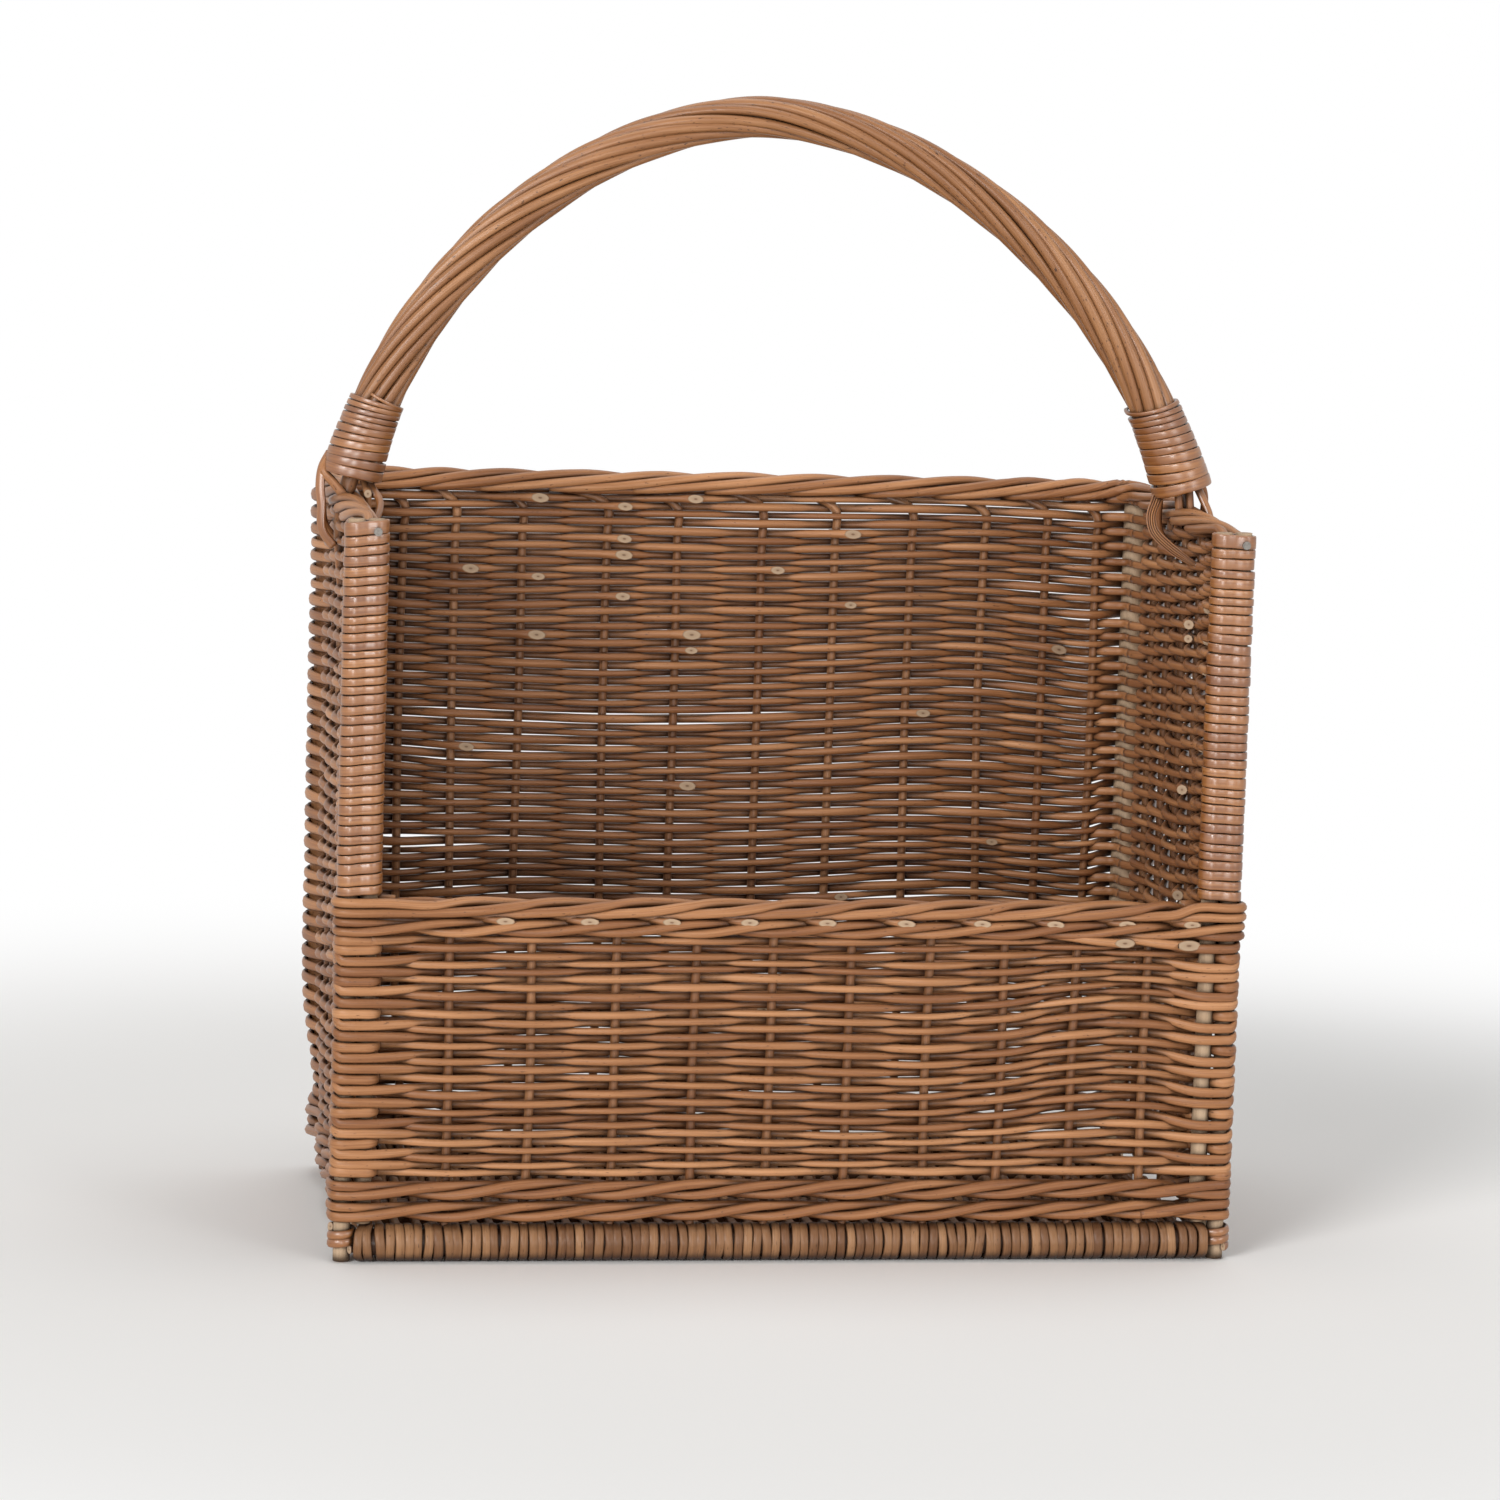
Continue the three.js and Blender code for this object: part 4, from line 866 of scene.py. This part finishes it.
borderLook = {
    "radius": 2.62, "seed": 41, "cut": (0.3, -2.6, 0),
    # Along the wall, counted in stakes from the rod's own; outwards; and above the border's bottom
    "steps": [0.0, 0.45, 1.0, 1.4, 1.8, 2.2, 2.7, 3.2, 3.7, 4.15, 4.35, 4.5, 4.65],
    "out": [0.0, 3.0, 6.0, 6.5, 5.6, 1.4, -4.0, -5.2, -5.3, -4.4, 0.0, 5.0, 8.2],
    "rise": [0.0, 0.6, 2.6, 3.8, 6.0, 7.6, 6.5, 4.3, 1.6, 0.2, -0.6, -1.4, -1.6],
    # Where the pattern goes on past the first and the last stake
    "before": [-343, -302, -261, -220], "after": [260, 300, 340, 380],
    "clearOfPosts": (-196, 204),
}


def makeFrontBorder(look):
    rng = np.random.default_rng(look["seed"])
    bottom = plan["frontBorderBottom"] + 0.4
    stakes = plan["frontStakes"]
    count, lead = len(stakes), len(look["before"])
    places = np.concatenate([look["before"], stakes, [plan["innerRodX"] + 1], look["after"]])
    ring = plan["postRadius"] + look["radius"] - 0.35
    steps, out, rise = (np.array(look[key]) for key in ("steps", "out", "rise"))

    def roundPost(sign, radius, level, fromAngle, toAngle):
        return [[x, y, level] for x, y in frontPostArc(sign, radius, fromAngle, toAngle, 7)]

    rods = []
    for number in range(-lead, count):
        xs = np.interp(number + lead + steps, np.arange(len(places)), places)
        bend = np.column_stack([xs, frontY - out, bottom + rise + rng.normal(0, 0.1, len(xs))])
        tint = 0.1 + 0.7 * rng.random()
        cut = look["cut"]
        fromEnd = count - 1 - number
        if number < 0:
            # These come round the left post, or from inside it, and join the pattern
            start = {-4: [[-209, frontY + 5.4, bottom + 2]],
                     -3: [[-211, frontY + ring + 0.4, bottom + 5]]}.get(number)
            if start is None:
                level = bottom + {-2: 7.2, -1: 2.2}[number]
                start = [[-206, frontY + ring - 0.6, level], *roundPost(-1, ring, level, 90, 270),
                         [-213, frontY - ring - 0.2, level + 0.1]]
            pieces = [start, bend[xs > look["clearOfPosts"][0]]]
        else:
            stake = [[stakes[number] + rng.normal(0, 0.5), frontY, plan["stakeFoot"]],
                     [stakes[number] + rng.normal(0, 0.6), frontY, 100],
                     [stakes[number], frontY, plan["frontBorderBottom"] - 10]]
            pieces = [stake, bend]
            if fromEnd < 4:
                # The last ones are carried round the right post and end inside
                cut = None
                bend = bend[xs < look["clearOfPosts"][1]]
                if fromEnd > 1:
                    pieces = [stake, bend, [[212, frontY + 7.4, bottom + 3]]]
                else:
                    level = bottom + (7.3, 2.3)[1 - fromEnd]
                    pieces = [stake, bend[bend[:, 1] < frontY + 1],
                              [[211, frontY - ring - 0.3, level], *roundPost(1, ring + 0.6, level, -90, 90),
                               [206, frontY + ring - 0.6, level - 0.5]]]
        path = smoothPath(np.vstack(pieces), 3.4)
        # Stakes get thicker where they come out of the weave, and the cut tips are thinner
        radius = np.clip(plan["stakeRadius"] + (path[:, 2] - 172) / 40, plan["stakeRadius"], look["radius"])
        if cut is not None:
            radius = radius * np.clip(0.8 + 0.2 * np.arange(len(path))[::-1] / 7, 0, 1)
        rods.append(rod(path, radius, up=(0, 0.05, 1) if number < 0 else (0, 1, 0.02), tint=tint,
                        start=600 * rng.random(), cut=cut))
    makeRods("frontStakesAndBorder", rods, willowWeave, 10)


makeFrontBorder(borderLook)

# ---- side and back walls: long rows from post to post through three walls

wallLook = {
    "rows": 82, "unevenness": 0.16, "seed": 51, "thinnest": 1.7, "thickest": 2.5,
    "amplitude": 4.1, "fill": 1.02, "sag": 0.1, "sideAmplitude": 4.9, "sideFill": 1.17,
    "cornerFlat": 0.6, "cornerWide": 1.3,
    # How a row ends at a front post, outside and inside: distance from the middle, and behind the front
    "outsidePost": [(231.8, 3.0), (234.0, 6.5), (235.0, 11.5), (232.5, 21.0)],
    "insidePost": [(218.0, 3.0), (215.4, 6.5), (214.6, 11.5), (217.5, 21.0)],
    # Where one weaver ends and the next begins, on the inside: along the wall and up, in millimetres
    "ends": {
        "back": [(-130, 380), (-148, 334), (-121, 336), (-69, 324), (-72, 371), (-72, 353), (-72, 349),
                 (-72, 341), (-35, 373), (17, 340), (53, 356), (51, 321), (-41, 298), (-40, 289), (-82, 319),
                 (-122, 303), (90, 262), (-150, 240), (-20, 214), (140, 190), (60, 151), (-100, 133),
                 (10, 92), (175, 300), (150, 120)],
        "right": [(-62, 331), (-62, 323), (-80, 321), (-88, 270), (-90, 262), (-84, 344), (-84, 310),
                  (-60, 180), (-30, 240), (-95, 120)],
    },
    "endShift": {"back": 5, "right": -4},   # from the stake to the end, along the wall
    "endOut": [0.6, 1.7, 3.0, 4.3],         # how far the last points of the old weaver stand in
    "startOut": [1.9, 1.5, 0.9, 0.3],       # and how far the first points of the new one lie behind it
    "endSwell": [1.05, 1.1, 1.15],          # its cut butt is a little thicker
    "endCut": {"back": (0.3, -1.9, 0.3), "right": (-0.5, 0, 0)},
}


def makeWalls(look):
    rng = np.random.default_rng(look["seed"])
    # From the left front post round the back to the right one
    stations = [("startPost", None, (-sideX, frontY), None)]
    for wall, corner, place in (("left", "backLeft", (-sideX, backY)), ("back", "backRight", (sideX, backY)),
                                ("right", "endPost", (sideX, frontY))):
        stations += [("stake", wall, *stake) for stake in wallStakes[wall][::-1]]
        stations.append((corner, None, place, None))
    high = sideRimTop(np.array([station[2][1] for station in stations])) - plan["rimHeight"] + 4.2
    heights, pitches = rowHeights(look["rows"], len(stations), plan["waleTop"] - 0.8, high,
                                  look["unevenness"], rng)
    # Each end goes to the nearest row that passes inside the nearest stake there
    endPlaces = {}
    for wall, ends in look["ends"].items():
        column = 0 if wall == "back" else 1
        spots = {number: station[2][column] for number, station in enumerate(stations) if station[1] == wall}
        for along, z in ends:
            number = min(spots, key=lambda n: abs(spots[n] - along))
            rows = [r for r in range(look["rows"]) if (r + number) % 2 == 1]
            row = min(rows, key=lambda r: abs(heights[r, number] - z))
            endPlaces.setdefault((wall, row), []).append(spots[number] + look["endShift"][wall])
    parts = {"left": [], "back": [], "right": []}
    for row in range(look["rows"]):
        controls, marks = [], {}
        for number, (kind, wall, place, normal) in enumerate(stations):
            outside = (row + number) % 2 == 0
            atSide = abs(place[0]) == sideX
            radius = np.clip(pitches[row, number] * look["sideFill" if atSide else "fill"] / 2,
                             look["thinnest"], look["thickest"])
            flat, wide = 1.0, 1.0
            z = heights[row, number]
            if kind.endswith("Post"):
                sign = -1 if kind == "startPost" else 1
                points = np.array(look["outsidePost" if outside else "insidePost"]) * [sign, 1] + [0, frontY]
                points = points[::-sign]
            elif kind == "stake":
                reach = look["sideAmplitude" if atSide else "amplitude"] * (1 if outside else -1)
                z -= look["sag"] * reach * normal[1]
                points = [np.add(place, np.multiply(normal, reach))]
            else:
                flat, wide = look["cornerFlat"], look["cornerWide"] if outside else 1.0
                points = cornerControls(kind, outside, radius * flat)[::-1]
            marks[kind] = (len(controls), len(controls) + len(points) - 1)
            controls += [[*point, z, radius * wide, radius * flat] for point in points]
        controls = np.array(controls)
        tints = rng.random(3) * [0.9, 0.6, 0.6]
        length = 900 * rng.random()
        leftMark, rightMark = marks["backLeft"][0], marks["backRight"][1]
        for wall, first, last in (("left", 0, leftMark), ("back", leftMark, rightMark),
                                  ("right", rightMark, len(controls) - 1)):
            # One control more at each side keeps the slope where the row is cut between two pieces
            path = smoothPath(controls[max(first - 1, 0):last + 2], 4.6 if wall == "back" else 4.2)
            nearFirst, nearLast = (np.argmin(np.linalg.norm(path[:, :3] - controls[mark, :3], axis=1))
                                   for mark in (first, last))
            path = drawIn(path[nearFirst:nearLast + 1])
            tint = tints[0] if wall == "left" else tints[1]
            column = 0 if wall == "back" else 1
            inward = np.array([0, -1.0, 0]) if wall == "back" else np.array([-1.0, 0, 0])
            breaks = sorted(int(np.argmin(np.abs(path[:, column] - place)))
                            for place in endPlaces.get((wall, row), []))
            # The old weaver stops past the stake in front of the new one, which starts before it
            starts = [0] + [max(at - 2, 0) for at in breaks]
            for begin, stop in zip(starts, [at + 2 for at in breaks] + [None]):
                piece = path[begin:stop].copy()
                if len(piece) < 5:
                    continue
                cut = None
                if stop is not None:
                    piece[-4:, :3] += inward * np.array(look["endOut"])[:, None]
                    piece[-3:, 3:] *= np.array(look["endSwell"])[:, None]
                    cut = look["endCut"][wall]
                if begin > 0:
                    piece[:4, :3] -= inward * np.array(look["startOut"])[:, None]
                    tint = rng.random()
                parts[wall].append(rod(piece, piece[:, 4], piece[:, 3], tint=tint, start=length, cut=cut))
            length += 300
    for wall, rods in parts.items():
        makeRods(f"{wall}Weave", rods, willowWeave, 8)


makeWalls(wallLook)

# ---- rims: the border of the side and back walls

rimLook = {
    "radius": 2.6, "cornerRadius": 14.0, "clearOfPosts": 6.0, "seed": 61,
    # As for the front border, but the rods lie longer along the inside and end under the others
    "steps": [0.5, 1.0, 1.4, 1.8, 2.2, 2.6, 3.0, 3.4, 3.8, 4.2, 4.5, 4.7],
    "out": [3.4, 6.2, 6.7, 6.0, 2.0, -2.8, -4.8, -5.6, -6.1, -5.8, -3.6, -1.0],
    "rise": [1.0, 3.4, 5.6, 8.2, 10.4, 10.1, 8.5, 6.6, 4.8, 3.4, 2.8, 2.6],
    # Where the pattern goes on before the first and after the last stake, from that stake
    "before": [-110, -74, -37], "after": [27, 60, 93, 126, 160],
    "postTop": (226.0, 2.5, 374.0),   # where the first and last rods come out of a front post's turns
    "thickFrom": 366.0, "cutReach": 1.4,
}


def makeRims(look):
    rng = np.random.default_rng(look["seed"])
    r, clear = look["cornerRadius"], look["clearOfPosts"]
    front, back = frontY + clear, backY - r
    # The rim's middle line: up the right side, round a corner, along the back, round a corner, down the left
    marks = np.cumsum([0, back - front, math.pi * r / 2, 2 * (sideX - r), math.pi * r / 2, back - front])

    def middleLine(s):
        # A middle that moves along the straight parts, and the corner's radius the way that the rim faces
        facing = np.interp(s, marks, np.radians([0, 0, 90, 90, 180, 180]))
        normal = np.column_stack([np.cos(facing), np.sin(facing)])
        middle = np.column_stack([np.interp(s, marks, [sideX - r] * 3 + [r - sideX] * 3),
                                  np.interp(s, marks, [front, back, back, back, back, front])])
        return middle + r * normal, normal

    stations = []
    for wall in ("right", "back", "left"):
        stations += [(wall, place) for place, normal in wallStakes[wall]] + [(wall, None)]
    stations.pop()  # a corner follows only the right and the back wall
    up = plan["sideStakes"] - front
    distances = np.concatenate([up, [marks[1:3].mean()], marks[2] + sideX - r - plan["backStakes"][::-1],
                                [marks[3:5].mean()], marks[-1] - up[::-1]])
    distances = np.concatenate([distances[0] + look["before"], distances, distances[-1] + look["after"]])
    kernel = np.array([1, 2, 3, 2, 1]) / 9
    postX, postY, postZ = look["postTop"]
    parts = {"left": [], "back": [], "right": []}
    for number in range(-len(look["before"]), len(stations)):
        index = number + len(look["before"]) + np.array(look["steps"])
        s = np.interp(index, np.arange(len(distances)), distances)
        kept = s[(s > clear) & (s < marks[-1] - clear)]
        if len(kept) < 2:  # no room to bend before the left front post
            continue
        fine = np.linspace(kept[0], kept[-1], max(6, int((kept[-1] - kept[0]) / 4)))
        out, rise = (np.convolve(np.pad(np.interp(fine, s, look[key]), 2, mode="edge"), kernel, mode="valid")
                     for key in ("out", "rise"))
        spot, normal = middleLine(fine)
        z = sideRimTop(spot[:, 1]) - plan["rimHeight"] + rise + wander(len(fine), 0.12, 8, rng)
        path = np.column_stack([spot + normal * out[:, None], z])
        toPost = s[-1] >= marks[-1] - clear
        if s[0] <= clear and number < 0:
            path = smoothPath(np.vstack([[postX, frontY + postY, postZ], path[::3], path[-1:]]), 4.0)
        if toPost:
            path = smoothPath(np.vstack([path[:1], path[1:-1:3], path[-1:], [-postX, frontY + postY, postZ]]),
                              4.0)
        wall, place = stations[number] if number >= 0 else ("right", None)
        if place is not None:
            x, y = place
            jitter = rng.normal(0, 0.6, 2) * (wall == "back")
            foot = plan["stakeFoot" if wall == "back" else "sideStakeFoot"]
            stake = np.array([[x, y, foot], [x + jitter[0], y, 140], [x + jitter[1], y, 270],
                              [x, y, z[0] - 9]])
            lead = smoothPath(stake, 8.0)
            path = drawIn(smoothPath(np.vstack([lead[:-1:3], stake[-1:], path[::2], path[-1:]]), 4.0))
        radius = np.where(path[:, 2] < look["thickFrom"], plan["stakeRadius"], look["radius"])
        facing = look["cutReach"] * middleLine(s[-1:])[1][0]
        parts[wall].append(rod(path, radius, up=(0, 1, 0.03) if wall == "back" else (1, 0, 0.03),
                               tint=0.2 + 0.7 * rng.random(), start=800 * rng.random(),
                               cut=None if toPost else (*facing, 0)))
    for wall, rods in parts.items():
        makeRods(f"{wall}StakesAndBorder", rods, willowWeave, 8)


makeRims(rimLook)

# ---- handle

handleLook = {
    "foot": 395.5, "spring": 345.0, "top": 600.0, "lean": -10.1, "footInset": 1.5, "squareness": 1.1,
    "radiusFoot": 14.6, "radiusShoulder": 12.5, "shoulder": 41.0, "radiusApex": 11.0, "taper": 250.0,
    "rods": 11, "rodFill": 1.09, "twist": 1.9, "seed": 71,
    "bowHeights": [205.6, 300.0, 391.0], "bowRadius": 4.5,   # the bow's ends stand inside the side walls
    "bindingTurns": 11, "perTurn": 28, "bindingThick": 1.15, "bindingGap": 0.2, "bindingSquare": 5.5,
    "bindingWide": 1.42, "bindingNarrow": 0.66,   # the first turn at the foot and the last, against the mean
    "bindingReach": {"Left": 42.0, "Right": 48.5},
    "bindingTilt": {"Left": 0.16, "Right": 0.2},   # towards the level, in radians
    "bindingEnd": {"Left": (0.59, 4.5), "Right": (-0.16, 3.5)},   # part of a turn more, and how far it climbs
}


def hoopLine(look, count):
    # A flattened hoop: powers of cosine and sine of the angle, its top shifted sideways by the lean
    rise = look["top"] - look["radiusApex"] - look["spring"]
    power = look["squareness"]
    footAngle = math.asin(((look["foot"] - look["spring"]) / rise) ** (1 / power))
    angle = math.pi - footAngle - np.linspace(0, 1, 2001) * (math.pi - 2 * footAngle)
    out = np.sign(np.cos(angle)) * np.abs(np.cos(angle)) ** power
    up = np.sin(angle) ** power
    footReach = (sideX - look["footInset"]) / math.cos(footAngle) ** power
    x = footReach * out + look["lean"] * (up - math.sin(footAngle) ** power)
    z = look["spring"] + rise * up
    s = np.concatenate([[0], np.cumsum(np.hypot(np.diff(x), np.diff(z)))])
    even = np.linspace(0, s[-1], count)
    return np.column_stack([np.interp(even, s, x), np.zeros(count), np.interp(even, s, z)]), even


def handleRadius(look, distance):
    # From the foot straight to the shoulder, then eased to the top
    foot, shoulder, apex = look["radiusFoot"], look["radiusShoulder"], look["radiusApex"]
    below = foot + (shoulder - foot) * np.minimum(distance / look["shoulder"], 1)
    return below + (apex - shoulder) * ease(np.clip((distance - look["shoulder"]) / look["taper"], 0, 1))


def makeHandle(look):
    rng = np.random.default_rng(look["seed"])
    line, s = hoopLine(look, 260)
    tangent = unit(np.gradient(line, axis=0))
    normal = np.column_stack([-tangent[:, 2], np.zeros(len(line)), tangent[:, 0]])
    front = np.array([0.0, -1.0, 0.0])

    def ringWay(outward, angle):
        # The way from the middle line at an angle round it, counted from outward towards the front
        return outward * np.cos(angle)[:, None] + front * np.sin(angle)[:, None]

    outer = handleRadius(look, np.minimum(s, s[-1] - s))
    # As thick as rods that lie in a ring and touch each other and the outer radius, and a little more
    snug = outer / (1 + 1 / math.sin(math.pi / look["rods"])) * look["rodFill"]
    rods = []
    for number in range(look["rods"]):
        thickness = snug * (1 + wander(len(s), 0.05, 40, rng)) * rng.uniform(0.96, 1.06)
        angle = (2 * math.pi * (number / look["rods"] + look["twist"] * s / s[-1])
                 + wander(len(s), 0.045, 45, rng) + rng.normal(0, 0.025))
        reach = outer - thickness + wander(len(s), 0.15, 30, rng)
        radial = ringWay(normal, angle)
        rods.append(rod(line + radial * reach[:, None], thickness * 1.01, thickness, up=radial,
                        tint=rng.random(), start=900 * rng.random()))
    makeRods("handleTwistedRods", rods, willowHandle, 12)

    bow = smoothPath(np.vstack([*([-sideX, 0, z] for z in look["bowHeights"]), line[::8], line[-1:],
                                *([sideX, 0, z] for z in look["bowHeights"][::-1])]), 8)
    # Inside the weave it is as thin as a stake
    thinned = np.interp(bow[:, 2], [205, 350, 388], [1.6, 2.4, look["bowRadius"]])
    makeRods("handleBow", [rod(bow, thinned, up=(0, 1, 0), tint=0.3)], willowWeave, 14)

    turns, perTurn = look["bindingTurns"], look["perTurn"]
    for side, way in bothSides:
        # Turns as on the posts, and the last part climbs and narrows
        extra, climbEnd = look["bindingEnd"][side]
        sizes = np.linspace(look["bindingWide"], look["bindingNarrow"], turns)
        sizes = sizes * np.exp(rng.normal(0, 0.06, turns))
        centres, widths = fillSpan(0.0, look["bindingReach"][side], sizes)
        count = int((turns + extra) * perTurn)
        steps = np.arange(count + 1) / perTurn
        angle = way * 2 * math.pi * steps - math.pi / 2
        level = turnLevel(steps, turns)
        last = np.clip((steps - steps[-1]) / 0.35 + 1, 0, 1)
        width = np.interp(level, np.arange(turns), widths) * (1 - 0.4 * last)
        at = np.interp(level, np.arange(turns), centres) + climbEnd * last * last
        place = s[-1] - at if side == "Right" else at
        centre, along, outward = (np.column_stack([np.interp(place, s, part[:, k]) for k in range(3)])
                                  for part in (line, tangent, normal))
        radial = ringWay(outward, angle)
        radius = handleRadius(look, at) + look["bindingThick"] * 0.7 + wander(count + 1, 0.12, 10, rng)
        tilts = rng.normal(look["bindingTilt"][side], 0.025, turns + 2)
        tilts[:2] = 0.03
        shift = way * np.interp(steps, np.arange(turns + 2), tilts) * radius * np.cos(angle)
        path = centre + radial * radius[:, None] + along * shift[:, None]
        strips = []
        for first in range(0, turns, 3):  # lengths of three turns, the last with what is left
            part = slice(first * perTurn, (first + 3) * perTurn + 1 if first + 3 < turns else None)
            strips.append(rod(path[part], (width[part] - look["bindingGap"]) / 2, look["bindingThick"],
                              up=radial[part], tint=rng.random(), start=500 * rng.random(),
                              square=look["bindingSquare"]))
        makeRods(f"handleBinding{side}", strips, willowSkein, 16)


makeHandle(handleLook)

# ---- the loose rods and lashings under the handle's bindings

legLook = {
    "seed": 81, "lashingSquare": 2.4, "slantedEnd": ("handleLegRodLeft3", (0, -0.6, 0.2)),
    # Middle line, half width and half thickness of each, and the way it faces
    "pieces": {
        "handleLegRodLeft1": ([(-236, -2, 405), (-239, -5, 399), (-233.9, -8, 392.7), (-228.6, -9, 386),
                               (-224, -7, 381)], 2.5, 1.6, (-0.4, -0.9, 0.1)),
        "handleLegRodLeft2": ([(-233, 5, 404), (-238.5, 8, 394), (-238, 9.5, 380), (-236, 10.5, 368),
                               (-230, 11, 361)], 2.1, 2.1, (0, 1, 0)),
        "handleLegRodLeft3": ([(-220, 3, 402), (-217.6, 0, 394), (-216.2, -4, 389.5), (-215.6, -8.5, 387)],
                              2.1, 2.1, (1, 0, 0)),
        "handleLegRodLeft4": ([(-216, 7, 401), (-214.2, 10, 388), (-214.6, 12, 374), (-219.5, 13, 364)],
                              2.1, 2.1, (0, 1, 0)),
        "outerLashingLeft": ([(-235, 0, 408), (-239.4, -4, 400), (-240.6, -6, 390.4), (-239.8, -8, 380.6),
                              (-238.9, -9, 367), (-233, -9, 359)], 2.7, 1.3, (-0.55, -0.83, 0)),
        "innerLashingLeft": ([(-213, 2, 400), (-213.6, -3, 391), (-209.6, -8, 384), (-211.5, -18, 376),
                              (-218.5, -28, 371)], 2.2, 1.3, (0.3, -0.95, 0)),
        "handleLegRodRight1": ([(226, -3, 402), (226.6, -6.5, 391), (227.2, -7, 382), (227, -5, 374)],
                               2.2, 2.2, (1, 0, 0)),
        "handleLegRodRight2": ([(234, 5, 402), (238, 8, 392), (237.6, 9.5, 379), (235.5, 10.5, 368),
                                (230, 11, 361)], 2.1, 2.1, (0, 1, 0)),
        "handleLegRodRight3": ([(219.5, -3, 402), (220.2, -7, 392), (220.8, -7.5, 383), (221, -5, 374)],
                               2.2, 2.2, (1, 0, 0)),
        "handleLegRodRight4": ([(215, 7, 401), (213.8, 10, 388), (214.6, 12, 374), (219.5, 13, 364)],
                               2.1, 2.1, (0, 1, 0)),
        "outerLashingRight": ([(228, -1, 404), (231, -6, 396.9), (233.9, -9, 390.2), (236.4, -12, 383),
                               (236.4, -14, 372), (231, -15, 363)], 2.2, 1.9, (0.5, -0.85, 0)),
    },
    # The grooved skein inside the right foot: middle line, and five fine strands side by side
    "ribbon": [(212.5, 0, 400), (209.8, -3, 391.5), (205.4, -10, 382.8), (204.6, -20, 375.6),
               (209.6, -34, 368.4), (217.0, -48, 362.6), (221, -54, 360)],
    "ribbonFacing": (-0.35, -0.93, 0.1), "ribbonStrands": 5, "ribbonWidth": 6.4,
}


def makeLegs(look):
    rng = np.random.default_rng(look["seed"])
    slanted, cut = look["slantedEnd"]
    for name, (line, half, thick, facing) in look["pieces"].items():
        material, slotName, square = willowWeave, "handle_rods", 2.0
        if "Lashing" in name:
            material, slotName, square = willowSkein, "willow_skein", look["lashingSquare"]
        piece = rod(smoothPath(line, 1.8), half, thick, up=facing, tint=rng.random(), square=square,
                    cut=cut if name == slanted else None)
        makeRods(name, [piece], material, 12)
    middle = smoothPath(look["ribbon"], 1.8)
    facing = np.array(look["ribbonFacing"])
    across = unit(np.cross(np.gradient(middle, axis=0), facing))
    share = np.linspace(0, 1, len(middle))
    width = look["ribbonWidth"] * np.interp(share, [0, 0.15, 0.75, 1], [0.8, 1, 0.85, 0.35])
    strands = look["ribbonStrands"]
    size = 0.96 * width / strands / 2
    rods = []
    for number in range(strands):
        place = (number + 0.5) / strands - 0.5
        bow = 0.5 * (1 - (2 * place) ** 2)
        path = middle + across * (width * place)[:, None] + facing * bow
        rods.append(rod(path, size, np.maximum(1.3 * size, 0.8), up=facing, tint=rng.random()))
    makeRods("innerLashingRight", rods, willowSkein, 10)


makeLegs(legLook)
